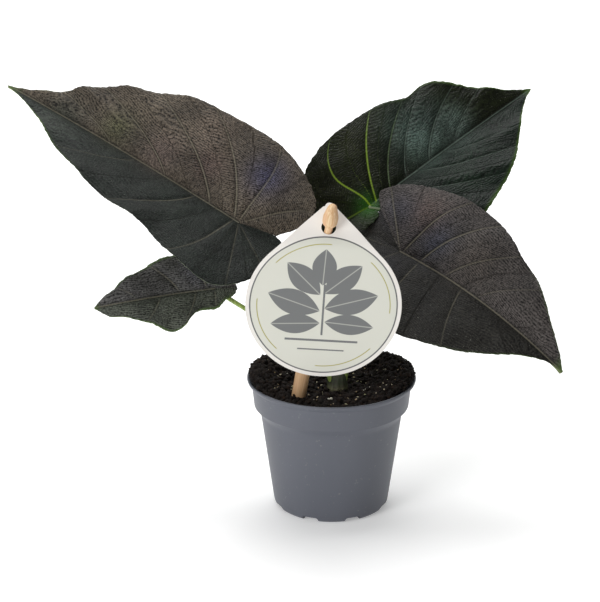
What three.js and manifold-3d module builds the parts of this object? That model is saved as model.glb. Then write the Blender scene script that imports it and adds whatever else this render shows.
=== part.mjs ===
// A potted velvet alocasia: four leaves on their stalks, in a plastic nursery pot of soil,
// with a drop-shaped card hung on a wooden stick.
// Millimetres, +Z up, front towards -Y. The origin is on the pot's axis, at its base.
import * as THREE from 'three';
import { mergeVertices } from 'three/addons/utils/BufferGeometryUtils.js';
import Module from 'manifold-3d';

const wasm = await Module();
wasm.setup();

// Clearance between pieces that touch
const GAP = 0.3;

// Pot: outer radii and heights from the base up, and the wall inside them
const POT = {
  height: 96.5,
  rimRadius: 60,
  lipHeight: 4.5,
  lipTaper: 2,
  bandTopRadius: 56.6,
  bandBottomRadius: 55,
  bandBottom: 75.5,
  ledgeRadius: 50.4,
  ledgeBottom: 70.5,
  footRadius: 41.2,
  footCorner: 5,
  wall: 1.6,
  floor: 5.4,
  sides: 48,
};
const DRAIN = { count: 8, width: 12, height: 3.8, from: 24, holeRadius: 3.2, holeAt: 32 };

// Soil: its level at the wall, and how high it is heaped at the back and at the two sides
const SOIL = { level: 93.5, sideHeap: 9, backHeap: 4, lump: 2.4, rings: 12, sides: 48 };

// Crown: the short stem base that the leaf stalks come from
const CROWN = { x: 4, y: -18, radius: 7, bottom: 78, neck: 96, top: 106, socketDepth: 10, spread: 4.1 };

// Leaf blades
const BLADE = { thickness: 0.8, midrib: 1.2, vein: 0.45, quilt: 1.3, wave: 1.7, veinSweep: 0.12 };
const BLADE_COLUMNS = [0, 0.06, 0.2, 0.36, 0.53, 0.7, 0.86, 1];
const BLADE_STEPS_PER_VEIN = 2;

// Each leaf has the point where its stalk joins the blade, its tip, and the roll of the blade
// about the line between them. Each vein row gives where a pair of side veins leaves the midrib
// (mm from the stalk), then where they meet the margin on the two sides, as [along, across].
// The first row is the notch behind the stalk and the last is the tip.
const LEAVES = {
  a: {
    stalk: [-65, 8, 208],
    tip: [-231, 80, 288],
    roll: -31,
    fold: 0.42,
    halfWidth: 72,
    sag: 3,
    bow: 0,
    veins: [
      [0, [-27, -6], [-27, -6]],
      [0, [-38, 0], [-40, -24]],
      [0, [-38, 27], [-36, -42]],
      [0, [-30, 49], [-10, -58]],
      [0, [-12, 63], [21, -64]],
      [4, [23, 58], [62, -62]],
      [16, [50, 50], [88, -56]],
      [30, [73, 48.5], [110, -46]],
      [51, [98, 44], [129, -38]],
      [73, [124, 35], [144, -28]],
      [95, [144, 26], [155, -20]],
      [121, [162, 14], [166, -12]],
      [151, [179, 6], [179, -6]],
      [198, [198, 0], [198, 0]],
    ],
    petiole: { side: 138, baseRadius: 2.1, topRadius: 1.8, rise: 42, reach: [-6, 16, -34] },
  },
  b: {
    stalk: [26.3, 48.2, 206.8],
    tip: [150, 144.2, 269.3],
    roll: 38,
    fold: 0.36,
    halfWidth: 62,
    sag: 3,
    bow: 0,
    veins: [
      [0, [2, -4], [2, -4]],
      [0, [-2, -11.3], [8, -12]],
      [0, [-14, -12], [15, -19]],
      [0, [-22, 1], [24, -26]],
      [0, [-31, 17], [32, -37]],
      [0, [-34, 39], [40, -47]],
      [0, [-21, 46], [48, -54]],
      [2, [12, 55.5], [57, -59]],
      [8, [50, 55], [77, -53]],
      [22, [76, 47], [96, -46]],
      [40, [97, 47], [113, -36.5]],
      [61, [117, 34.5], [129, -24.5]],
      [86, [131.5, 21.5], [142, -14]],
      [115, [148, 10.5], [158, -4]],
      [168, [168, 0], [168, 0]],
    ],
    petiole: { side: 68, baseRadius: 2.1, topRadius: 1.8, rise: 50, reach: [1, 10, -30] },
  },
  c: {
    stalk: [48, 17, 184],
    tip: [157, -54, 120],
    roll: 45,
    fold: 0.34,
    halfWidth: 62,
    sag: 8,
    bow: 4,
    veins: [
      [0, [-32.8, 17], [-32.8, 17]],
      [0, [-42, 27], [-35, 4]],
      [0, [-37.5, 34.5], [-43.5, -9]],
      [0, [-26.5, 43], [-41, -29]],
      [0, [-8, 50], [-27, -43]],
      [2, [22, 56], [-8, -53]],
      [17, [50, 54], [20, -55]],
      [38, [75, 44.5], [50, -50]],
      [58, [94, 38], [78, -38.5]],
      [79, [111, 27], [103, -21.5]],
      [99, [126, 16], [121, -7]],
      [120, [137, 8], [134, -0.5]],
      [145, [145, 0], [145, 0]],
    ],
    petiole: { side: -2, baseRadius: 2.1, topRadius: 1.8, rise: 46, reach: [-12, 12, -24] },
  },
  d: {
    stalk: [-82, -5, 164],
    tip: [-166, -15, 153],
    roll: -44,
    fold: 0.3,
    halfWidth: 34,
    sag: 2,
    bow: 0,
    veins: [
      [0, [-16, 2], [-16, 2]],
      [0, [-13, 7], [-14, -8]],
      [0, [-6.5, 11], [-8, -19]],
      [0, [1, 17.5], [2, -26]],
      [5, [14, 18], [15, -29]],
      [13, [25.5, 28], [29, -27]],
      [24, [37, 30], [43, -23]],
      [38, [50, 20.5], [57, -18]],
      [54, [62.5, 13.5], [68, -11.5]],
      [70, [75, 10], [77.5, -6]],
      [85, [85, 0], [85, 0]],
    ],
    petiole: { side: 210, baseRadius: 2.1, topRadius: 1.6, rise: 28, reach: [34, 0, -25] },
  },
};
const PETIOLE_SIDES = 10;
const PETIOLE_STEPS = 14;

// Label: a drop-shaped card, whose top bends back over the neck of the stick that holds it
const CARD = {
  centre: [-6.4, -45, 165.6],
  leanForward: 4.5,
  turn: 3.5,
  radius: 53.3,
  apex: 76.2,
  apexRound: 3,
  thickness: 0.7,
  bendStart: 41.7,
  bendRadius: 19.3,
  bendAngle: 45,
  holeRadius: 5,
};
// Stick: distances are along its axis from the card's hole
const STICK = { radius: 5, neckRadius: 2.6, headRadius: 5.4, tip: -156, lean: 9.1, sides: 20 };
const STICK_PROFILE = [
  [0, STICK.tip],
  [1.2, STICK.tip + 1],
  [STICK.radius, STICK.tip + 16],
  [STICK.radius, -13.8],
  [4.2, -10.4],
  [3.3, -7],
  [STICK.neckRadius, -4.4],
  [STICK.neckRadius, 3.2],
  [4.9, 6.6],
  [STICK.headRadius, 9.6],
  [5.2, 12],
  [4.4, 14.4],
  [3.5, 16.8],
  [2.3, 19],
  [0, 20],
];

const rad = THREE.MathUtils.degToRad;
const vec = (p) => new THREE.Vector3(...p);

// A colour and finish as a standard material
function finish(color, roughness) {
  return new THREE.MeshStandardMaterial({ color, roughness, metalness: 0, side: THREE.FrontSide });
}

// An indexed geometry from points and triangles, with its faces turned outwards
function closedGeometry(points, triangles) {
  const geometry = new THREE.BufferGeometry().setFromPoints(points);
  let volume = 0;
  for (const [i, j, k] of triangles) {
    volume += points[i].dot(new THREE.Vector3().crossVectors(points[j], points[k]));
  }
  geometry.setIndex(triangles.flatMap(([i, j, k]) => (volume > 0 ? [i, j, k] : [i, k, j])));
  return geometry;
}

// A skin over rings of equally many points, closed by a fan at each end
function ringSkin(rings) {
  const count = rings[0].length;
  const points = rings.flat();
  const triangles = [];
  for (let r = 0; r + 1 < rings.length; r += 1) {
    for (let s = 0; s < count; s += 1) {
      const a = r * count + s;
      const b = r * count + ((s + 1) % count);
      triangles.push([a, b, b + count], [a, b + count, a + count]);
    }
  }
  for (const [ring, start, flip] of [
    [rings[0], 0, true],
    [rings.at(-1), (rings.length - 1) * count, false],
  ]) {
    const centre = points.length;
    points.push(ring.reduce((sum, p) => sum.add(p), new THREE.Vector3()).divideScalar(count));
    for (let s = 0; s < count; s += 1) {
      const a = start + s;
      const b = start + ((s + 1) % count);
      triangles.push(flip ? [b, a, centre] : [a, b, centre]);
    }
  }
  return closedGeometry(points, triangles);
}

// A closed geometry as a solid, and back
function toSolid(geometry) {
  const bare = geometry.clone();
  bare.deleteAttribute('normal');
  bare.deleteAttribute('uv');
  const merged = mergeVertices(bare, 1e-4);
  return new wasm.Manifold(
    new wasm.Mesh({
      numProp: 3,
      vertProperties: new Float32Array(merged.attributes.position.array),
      triVerts: new Uint32Array(merged.index.array),
    }),
  );
}

function toGeometry(solid) {
  const mesh = solid.getMesh();
  const geometry = new THREE.BufferGeometry();
  geometry.setAttribute('position', new THREE.BufferAttribute(new Float32Array(mesh.vertProperties), 3));
  geometry.setIndex(new THREE.BufferAttribute(new Uint32Array(mesh.triVerts), 1));
  return geometry;
}

function cut(geometry, cutters) {
  return toGeometry(cutters.reduce((solid, cutter) => solid.subtract(toSolid(cutter)), toSolid(geometry)));
}

// A lathe about +Z from [radius, height] pairs
function turned(profile, sides) {
  const points = profile.map(([r, z]) => new THREE.Vector2(r, z));
  return new THREE.LatheGeometry(points, sides).rotateX(Math.PI / 2);
}

// A rod along a direction, from one distance to another
function rod(origin, direction, from, to, radius, sides) {
  const profile = [
    [0, from],
    [radius, from],
    [radius, to],
    [0, to],
  ];
  const turn = new THREE.Quaternion().setFromUnitVectors(new THREE.Vector3(0, 0, 1), direction);
  return turned(profile, sides).applyQuaternion(turn).translate(origin.x, origin.y, origin.z);
}

// Pot

// Radius of the pot's outer wall under the ledge
function wallRadius(z) {
  const { footRadius, footCorner, ledgeRadius, ledgeBottom } = POT;
  return footRadius + ((ledgeRadius - footRadius) * (z - footCorner)) / (ledgeBottom - footCorner);
}

// Radius of the inner wall of the band under the rim
function bandInnerRadius(z) {
  const { bandTopRadius, bandBottomRadius, bandBottom, height, wall } = POT;
  const share = (z - bandBottom - wall / 2) / (height - 1 - bandBottom - wall / 2);
  return bandBottomRadius + (bandTopRadius - bandBottomRadius) * share - wall;
}

function potProfile() {
  const { height, rimRadius, lipHeight, lipTaper, wall, floor, footRadius, footCorner } = POT;
  const { bandTopRadius, bandBottomRadius, bandBottom, ledgeRadius, ledgeBottom } = POT;
  const lipBottom = height - lipHeight;
  const corner = [0.25, 0.5, 0.75].map((share) => {
    const angle = (share * Math.PI) / 2;
    const inset = footCorner - wall * 0.2;
    return [footRadius - inset * (1 - Math.sin(angle)), footCorner * (1 - Math.cos(angle))];
  });
  return [
    [0, 0],
    [footRadius - footCorner, 0],
    ...corner,
    [footRadius, footCorner],
    [ledgeRadius, ledgeBottom],
    [bandBottomRadius, bandBottom],
    [bandTopRadius, lipBottom - lipTaper],
    [rimRadius - 0.3, lipBottom],
    [rimRadius, height - 1],
    [rimRadius - 0.9, height],
    [bandTopRadius - wall + 0.5, height],
    [bandTopRadius - wall, height - 1],
    [bandBottomRadius - wall, bandBottom + wall / 2],
    [ledgeRadius - wall, ledgeBottom + wall / 2],
    [wallRadius(floor) - wall, floor],
    [0, floor],
  ];
}

// Radial drainage channels, raised into the base, each with its own hole
function potCutters() {
  const { count, width, height, from, holeRadius, holeAt } = DRAIN;
  const round = 1.5;
  const arch = new THREE.Shape();
  arch.moveTo(-width / 2, -2);
  arch.lineTo(-width / 2, height - round);
  arch.lineTo(-width / 2 + round, height);
  arch.lineTo(width / 2 - round, height);
  arch.lineTo(width / 2, height - round);
  arch.lineTo(width / 2, -2);
  const cutters = [];
  for (let i = 0; i < count; i += 1) {
    const angle = ((i + 0.5) * 2 * Math.PI) / count;
    const channel = new THREE.ExtrudeGeometry(arch, { depth: POT.rimRadius - from, bevelEnabled: false });
    channel.rotateX(Math.PI / 2).translate(0, -from, 0).rotateZ(angle);
    const hole = turned([[0, 1], [holeRadius, 1], [holeRadius, 9], [0, 9]], 10);
    hole.translate(0, -holeAt, 0).rotateZ(angle);
    cutters.push(channel, hole);
  }
  return cutters;
}

// Soil

// Height of the crumbly surface at a radius and an angle
function soilHeight(radius, angle) {
  const inner = POT.bandTopRadius - POT.wall;
  const share = radius / inner;
  const side = Math.abs(Math.cos(angle)) ** 3;
  const back = Math.max(0, Math.sin(angle));
  const bank = Math.exp(-(((share - 0.9) / 0.22) ** 2));
  const x = radius * Math.cos(angle);
  const y = radius * Math.sin(angle);
  const crumbs =
    Math.sin(0.71 * x + 1.3) * Math.sin(0.63 * y + 0.4) +
    0.6 * Math.sin(1.27 * x - 0.9 * y) +
    0.5 * Math.sin(0.35 * x + 1.1 * y + 2);
  const settle = 1 - 0.7 * share ** 8;
  const heap = bank * (SOIL.sideHeap * side + SOIL.backHeap * back);
  return SOIL.level + heap + (SOIL.lump / 2) * crumbs * settle;
}

function soilBody() {
  const { sides, rings } = SOIL;
  const ring = (radius, height) =>
    Array.from({ length: sides }, (_, i) => {
      const angle = (i * 2 * Math.PI) / sides;
      const z = height === undefined ? soilHeight(radius, angle) : height;
      return new THREE.Vector3(radius * Math.cos(angle), radius * Math.sin(angle), z);
    });
  const inset = POT.wall + GAP;
  const shoulder = SOIL.level - 4;
  const edge = bandInnerRadius(shoulder) - GAP;
  const wallRings = [
    ring(wallRadius(POT.floor) - inset, POT.floor + GAP),
    ring(POT.ledgeRadius - inset, POT.ledgeBottom + POT.wall / 2 + GAP),
    ring(POT.bandBottomRadius - inset, POT.bandBottom + POT.wall / 2 + GAP),
    ring(edge, shoulder),
  ];
  const topRings = [];
  for (let i = 0; i < rings; i += 1) {
    topRings.push(ring(edge * (1 - i / rings)));
  }
  return ringSkin([...wallRings, ...topRings]);
}

// Leaves

function leafFrame({ stalk, tip, roll }) {
  const origin = vec(stalk);
  const along = vec(tip).sub(origin);
  const length = along.length();
  along.normalize();
  const up = new THREE.Vector3(0, 0, 1).addScaledVector(along, -along.z).normalize();
  const normal = up.applyAxisAngle(along, rad(roll));
  const across = new THREE.Vector3().crossVectors(normal, along);
  return { origin, along, across, normal, length };
}

// A point of the blade's upper face: row counts the veins from the notch to the tip, and share
// runs from the midrib to the margin of one side
function bladePoint(leaf, frame, outline, side, row, share) {
  const { fold, halfWidth, sag, bow, veins } = leaf;
  const first = Math.min(Math.floor(row), veins.length - 2);
  const root = THREE.MathUtils.lerp(veins[first][0], veins[first + 1][0], row - first);
  const margin = outline[side].getPoint(row / (veins.length - 1));
  const sweep = BLADE.veinSweep * Math.max(0, margin.x - root) * 4 * share * (1 - share);
  const along = THREE.MathUtils.lerp(root, margin.x, share) - sweep;
  const bowAt = (s) => (bow * 4 * s * (frame.length - s)) / frame.length ** 2;
  const rootBow = bowAt(root);
  const across = THREE.MathUtils.lerp(rootBow, margin.y, share);
  const reach = Math.abs(across - rootBow);
  const camber = (sag * 4 * along * (frame.length - along)) / frame.length ** 2;
  const arch = fold * (reach - reach ** 2 / (2.2 * halfWidth));
  const broad = Math.min(1, reach / 18);
  const quilt = BLADE.quilt * broad * Math.sin(Math.PI * row) ** 2 * (1 - 0.5 * share);
  const wave = BLADE.wave * broad * share ** 3 * Math.sin(Math.PI * row) * (side === 0 ? 1 : -1);
  return frame.origin
    .clone()
    .addScaledVector(frame.along, along)
    .addScaledVector(frame.across, across)
    .addScaledVector(frame.normal, camber + arch + quilt + wave);
}

// How much thicker the blade is under its midrib and veins
function ribDepth(row, share) {
  const midrib = share === 0 ? BLADE.midrib : 0;
  const nearest = Math.abs(row - Math.round(row));
  const vein = nearest < 0.01 && share > 0 && share < 0.95 ? BLADE.vein * (1 - share) : 0;
  return BLADE.thickness + midrib + vein;
}

function leafBlade(leaf) {
  const frame = leafFrame(leaf);
  const outline = [1, 2].map((column) => {
    const points = leaf.veins.map((vein) => new THREE.Vector2(...vein[column]));
    return new THREE.SplineCurve(points);
  });
  const steps = (leaf.veins.length - 1) * BLADE_STEPS_PER_VEIN;
  const points = [];
  const depths = [];
  const known = new Map();
  const indexOf = (side, step, column) => {
    const row = step / BLADE_STEPS_PER_VEIN;
    const share = BLADE_COLUMNS[column];
    const point = bladePoint(leaf, frame, outline, side, row, share);
    const key = point.toArray().map((value) => value.toFixed(2)).join(',');
    if (!known.has(key)) {
      known.set(key, points.length);
      points.push(point);
      depths.push(ribDepth(row, share));
    }
    return known.get(key);
  };
  const triangles = [];
  const borders = [];
  for (const side of [0, 1]) {
    for (let step = 0; step < steps; step += 1) {
      for (let column = 0; column + 1 < BLADE_COLUMNS.length; column += 1) {
        const a = indexOf(side, step, column);
        const b = indexOf(side, step + 1, column);
        const c = indexOf(side, step + 1, column + 1);
        const d = indexOf(side, step, column + 1);
        for (const face of [[a, b, c], [a, c, d]]) {
          if (new Set(face).size === 3) triangles.push(side === 0 ? face : face.toReversed());
        }
      }
      const last = BLADE_COLUMNS.length - 1;
      const edge = [indexOf(side, step, last), indexOf(side, step + 1, last)];
      borders.push(side === 0 ? edge : edge.toReversed());
    }
  }
  const upper = new THREE.BufferGeometry().setFromPoints(points);
  upper.setIndex(triangles.flat());
  upper.computeVertexNormals();
  const normals = points.map((_, i) => new THREE.Vector3().fromBufferAttribute(upper.attributes.normal, i));
  const down = normals[0].dot(frame.normal) > 0 ? -1 : 1;
  const lower = points.map((point, i) => point.clone().addScaledVector(normals[i], down * depths[i]));
  const count = points.length;
  const underside = triangles.map(([i, j, k]) => [i + count, k + count, j + count]);
  const rim = borders.flatMap(([i, j]) => [
    [i, j, j + count],
    [i, j + count, i + count],
  ]);
  return closedGeometry([...points, ...lower], [...triangles, ...underside, ...rim]);
}

// Leaf stalks, from the crown to under the blades

function petioleCurve(leaf) {
  const { side, rise, reach } = leaf.petiole;
  const frame = leafFrame(leaf);
  const angle = rad(side);
  const outward = new THREE.Vector3(Math.cos(angle), Math.sin(angle), 0);
  const base = new THREE.Vector3(CROWN.x, CROWN.y, CROWN.top - CROWN.socketDepth);
  base.addScaledVector(outward, CROWN.spread);
  const lift = base.clone().addScaledVector(outward, rise * 0.12);
  lift.z += rise;
  const end = frame.origin.clone().addScaledVector(frame.normal, -petioleDrop());
  const approach = end.clone().add(vec(reach));
  return new THREE.CubicBezierCurve3(base, lift, approach, end);
}

// How far the stalk's end lies under the blade's upper face
function petioleDrop() {
  return BLADE.thickness + BLADE.midrib + GAP;
}

// A tapered tube on the stalk's curve, with its top end cut to the blade's slope
function petioleBody(leaf, extra) {
  const curve = petioleCurve(leaf);
  const { normal } = leafFrame(leaf);
  const { baseRadius, topRadius } = leaf.petiole;
  const frames = curve.computeFrenetFrames(PETIOLE_STEPS, false);
  const end = curve.getPointAt(1);
  const lastWhole = PETIOLE_STEPS - 1;
  const rings = [];
  for (let i = 0; i <= PETIOLE_STEPS; i += 1) {
    const share = i / PETIOLE_STEPS;
    const centre = curve.getPointAt(share);
    const radius = THREE.MathUtils.lerp(baseRadius, topRadius, Math.min(1, share * 1.4)) + extra;
    const ring = [];
    for (let s = 0; s < PETIOLE_SIDES; s += 1) {
      const angle = (s * 2 * Math.PI) / PETIOLE_SIDES;
      const point = centre
        .clone()
        .addScaledVector(frames.normals[i], radius * Math.cos(angle))
        .addScaledVector(frames.binormals[i], radius * Math.sin(angle));
      if (i > lastWhole) {
        const tangent = frames.tangents[i];
        const distance = end.clone().sub(point).dot(normal) / tangent.dot(normal);
        point.addScaledVector(tangent, distance);
      }
      ring.push(point);
    }
    rings.push(ring);
  }
  return ringSkin(rings);
}

function crownBody() {
  const { x, y, radius, bottom, neck, top } = CROWN;
  const profile = [
    [0, bottom],
    [radius - 2, bottom],
    [radius, bottom + 4],
    [radius, neck - 4],
    [radius + 0.6, neck],
    [radius, neck + 4],
    [radius - 0.8, top - 2],
    [radius - 2.2, top],
    [0, top + 0.6],
  ];
  const body = turned(profile, 24).translate(x, y, 0);
  return cut(body, Object.values(LEAVES).map((leaf) => petioleBody(leaf, GAP)));
}

// Label

function cardFrame() {
  const lean = rad(CARD.leanForward);
  const turn = rad(CARD.turn);
  const front = new THREE.Vector3(0, -Math.cos(lean), -Math.sin(lean));
  const right = new THREE.Vector3(1, 0, 0);
  const rise = new THREE.Vector3(0, -Math.sin(lean), Math.cos(lean));
  right.applyAxisAngle(front, -turn);
  rise.applyAxisAngle(front, -turn);
  return { centre: vec(CARD.centre), front, right, rise };
}

// Height and backward offset of the bent card at a distance along it from its centre
function cardBend(distance) {
  const { bendStart, bendRadius, bendAngle } = CARD;
  const full = rad(bendAngle);
  const arc = Math.min(Math.max(0, distance - bendStart) / bendRadius, full);
  const straight = Math.max(0, distance - bendStart - bendRadius * full);
  return {
    up: Math.min(distance, bendStart) + bendRadius * Math.sin(arc) + straight * Math.cos(arc),
    back: bendRadius * (1 - Math.cos(arc)) + straight * Math.sin(arc),
    angle: arc,
  };
}

function cardPoint(across, distance, depth) {
  const { centre, front, right, rise } = cardFrame();
  const { up, back, angle } = cardBend(distance);
  return centre
    .clone()
    .addScaledVector(right, across)
    .addScaledVector(rise, up + depth * Math.sin(angle))
    .addScaledVector(front, depth * Math.cos(angle) - back);
}

// Half the card's width at a distance from its centre: a disc and the two lines from the apex
function cardHalfWidth(distance) {
  const { radius, apex, apexRound } = CARD;
  const touch = radius ** 2 / apex;
  if (distance <= touch) return Math.sqrt(Math.max(0, radius ** 2 - distance ** 2));
  const slope = radius / Math.sqrt(apex ** 2 - radius ** 2);
  const reach = (apex - distance) * slope;
  const tip = apex - apexRound * (Math.hypot(1, 1 / slope) - 1);
  const rounded = Math.sqrt(Math.max(0, apexRound ** 2 - Math.max(0, distance - tip + apexRound) ** 2));
  return distance > tip - apexRound ? Math.min(reach, rounded) : reach;
}

function cardBody() {
  const { radius, apex, thickness, holeRadius, bendStart, bendRadius, bendAngle } = CARD;
  const distances = [];
  const arcSteps = 26;
  for (let i = 0; i <= arcSteps; i += 1) {
    distances.push(-radius * Math.cos(THREE.MathUtils.lerp(rad(5), rad(134), i / arcSteps)));
  }
  const upperSteps = 16;
  for (let i = 1; i <= upperSteps; i += 1) {
    distances.push(THREE.MathUtils.lerp(distances[arcSteps], apex - 1.7, i / upperSteps));
  }
  const rings = distances.map((distance) => {
    const half = cardHalfWidth(distance);
    return [
      cardPoint(-half, distance, thickness / 2),
      cardPoint(half, distance, thickness / 2),
      cardPoint(half, distance, -thickness / 2),
      cardPoint(-half, distance, -thickness / 2),
    ];
  });
  const holeAt = bendStart + bendRadius * rad(bendAngle);
  const start = cardPoint(0, holeAt, 0);
  const direction = cardPoint(0, holeAt, 1).sub(start);
  return cut(ringSkin(rings), [rod(start, direction, -4, 4, holeRadius, 24)]);
}

// The stick's axis goes through the middle of the card's hole
function stickAxis() {
  const { front, rise } = cardFrame();
  const origin = cardPoint(0, CARD.bendStart + CARD.bendRadius * rad(CARD.bendAngle), 0);
  const direction = rise.clone().applyAxisAngle(front, -rad(STICK.lean - CARD.turn));
  return { origin, direction };
}

function stickBody() {
  const { origin, direction } = stickAxis();
  const turn = new THREE.Quaternion().setFromUnitVectors(new THREE.Vector3(0, 0, 1), direction);
  return turned(STICK_PROFILE, STICK.sides).applyQuaternion(turn).translate(origin.x, origin.y, origin.z);
}

// Plain holes in the soil for the crown and the stick
function soilCutters() {
  const { origin, direction } = stickAxis();
  const { x, y, radius, bottom } = CROWN;
  const up = new THREE.Vector3(0, 0, 1);
  return [
    rod(new THREE.Vector3(x, y, 0), up, bottom - GAP, POT.height + 20, radius + 0.6 + GAP, 24),
    rod(origin, direction, STICK.tip - GAP, STICK.tip + 100, STICK.radius + GAP, STICK.sides),
  ];
}

// The whole plant
const plant = new THREE.Group();

function add(name, geometry, material) {
  const mesh = new THREE.Mesh(geometry, material);
  mesh.name = name;
  plant.add(mesh);
}

add('pot', cut(turned(potProfile(), POT.sides), potCutters()), finish(0x5f626b, 0.55));
add('soil', cut(soilBody(), soilCutters()), finish(0x1d1512, 0.95));
add('crown', crownBody(), finish(0x6f8050, 0.6));
const bladeColours = { a: 0x37332f, b: 0x24351f, c: 0x37332f, d: 0x2c3327 };
for (const [key, leaf] of Object.entries(LEAVES)) {
  add(`petiole_${key}`, petioleBody(leaf, 0), finish(0x84984a, 0.5));
  add(`leaf_${key}`, leafBlade(leaf), finish(bladeColours[key], 0.7));
}
add('label_stick', stickBody(), finish(0xd3b48a, 0.65));
add('label_card', cardBody(), finish(0xe2e0d4, 0.6));

export default plant;
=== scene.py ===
"""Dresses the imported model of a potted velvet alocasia: soft dark leaves, green stalks, peat soil,
a moulded nursery pot, and a drop-shaped card on a wooden stick."""

import math
import random

import bmesh
import bpy
from mathutils import Matrix, Vector, noise


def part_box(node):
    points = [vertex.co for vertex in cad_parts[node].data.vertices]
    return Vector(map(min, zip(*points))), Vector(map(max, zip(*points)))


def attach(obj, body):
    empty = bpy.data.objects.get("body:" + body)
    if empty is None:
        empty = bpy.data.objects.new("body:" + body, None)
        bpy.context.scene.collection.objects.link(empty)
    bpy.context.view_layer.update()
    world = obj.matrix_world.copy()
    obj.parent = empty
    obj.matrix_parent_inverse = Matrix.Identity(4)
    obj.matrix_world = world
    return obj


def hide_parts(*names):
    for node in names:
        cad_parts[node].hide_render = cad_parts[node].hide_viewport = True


bl_info = {
    "name": "Potted velvet alocasia",
    "version": (1, 0, 0),
    "blender": (4, 5, 0),
    "location": "View3D > Sidebar > Alocasia",
    "description": "Models and finishes a velvet alocasia in its nursery pot",
    "category": "Object",
}

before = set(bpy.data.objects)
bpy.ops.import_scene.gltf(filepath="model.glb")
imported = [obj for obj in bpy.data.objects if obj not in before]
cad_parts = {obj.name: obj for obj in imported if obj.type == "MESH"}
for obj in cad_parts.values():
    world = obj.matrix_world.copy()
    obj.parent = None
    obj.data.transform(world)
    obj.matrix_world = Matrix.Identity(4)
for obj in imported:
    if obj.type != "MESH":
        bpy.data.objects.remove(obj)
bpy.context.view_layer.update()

MM = 0.001

# Pot: outer radii and heights from the base up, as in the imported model
POT_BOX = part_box("pot")
POT_HEIGHT = POT_BOX[1].z
RIM_RADIUS = POT_BOX[1].x
POT_WALL = 1.6 * MM
POT_FLOOR = 5.4 * MM
FOOT_RADIUS = 41.2 * MM
FOOT_CORNER = 5 * MM
LEDGE_RADIUS = 50.4 * MM
LEDGE_BOTTOM = 70.5 * MM
BAND_BOTTOM = 76.3 * MM
BAND_BOTTOM_RADIUS = 55 * MM
BAND_TOP_RADIUS = 56.6 * MM
LEDGE_FOOT = 68.5 * MM
LEDGE_SWELL = ((50.4, 69.8), (51, 71.2), (52.2, 73), (53.8, 75))
LIP_HEIGHT = 2 * MM
LIP_TAPER = 3 * MM
POT_STEPS = 144
DRAINS = 8
DRAIN_WIDTH = 12 * MM
DRAIN_HEIGHT = 3.8 * MM
DRAIN_FROM = 24 * MM
DRAIN_HOLE_RADIUS = 3.2 * MM
DRAIN_HOLE_AT = 32 * MM

# Soil
SOIL_LEVEL = 93.5 * MM
SOIL_SIDE_HEAP = 9 * MM
SOIL_BACK_HEAP = 4 * MM
SOIL_LUMP = 2.4 * MM
SOIL_INSET = 1.9 * MM
SOIL_OVER_LEDGE = 1.1 * MM
SOIL_EDGE = 54.2 * MM
SOIL_ROUGHNESS = ((0.9, 0.45), (0.5, 1.1))
CRUMB_HEIGHT = 0.7

# Crumbs further out than the rim's inside lie on its inner slope
RIM_INSIDE = 54.7 * MM
RIM_SEAT = POT_HEIGHT - 1.6 * MM

# Crown
CROWN_PLACE = Vector((4 * MM, -18 * MM, 0))
CROWN_TOP = 106 * MM
CROWN_SPREAD = 4.1 * MM
SOCKET_DEPTH = 10 * MM

# Leaf blades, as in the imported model: all lengths in millimetres
BLADE_THICKNESS = 0.8
BLADE_MIDRIB = 1.2
BLADE_QUILT = 0.5
BLADE_WAVE = 1.7
BLADE_BULGE = 0.9
VEIN_SWEEP = 0.12
BLADE_STEPS = 20
BLADE_COLUMNS = 92
THICKEST = 2.6
STALK_BELOW_BLADE = 1.3
STALK_JOINT_REACH = 12

# Quilting and waves are full this far off the midrib, and grow between two vein rows past the joint
QUILT_REACH = 18
QUILT_ROWS = (2, 6)
QUILT_AT_JOINT = 0.15

# Relief of an upper face: height and half width of each vein's crest and of its sunken flanks, then
# height and frequency of the noises that pucker the blade and scallop its margin
VEIN_CREST = (0.3, 0.5)
VEIN_FLANK = (0.75, 1.7)
MIDRIB_CREST = (0.4, 0.7)
MIDRIB_FLANK = (0.6, 2)
PUCKERS = ((0.8, 0.06), (0.32, 0.19))
SCALLOPS = ((0.6, 0.27), (0.45, 0.7))
WRINKLE_HEIGHT = 0.09
WRINKLE_PITCH = 2.6

# A vein is looked for this many rows to each side, and this stands for none
VEIN_SEARCH = 1.6
NO_VEIN = (99, 0, 0)

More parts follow.
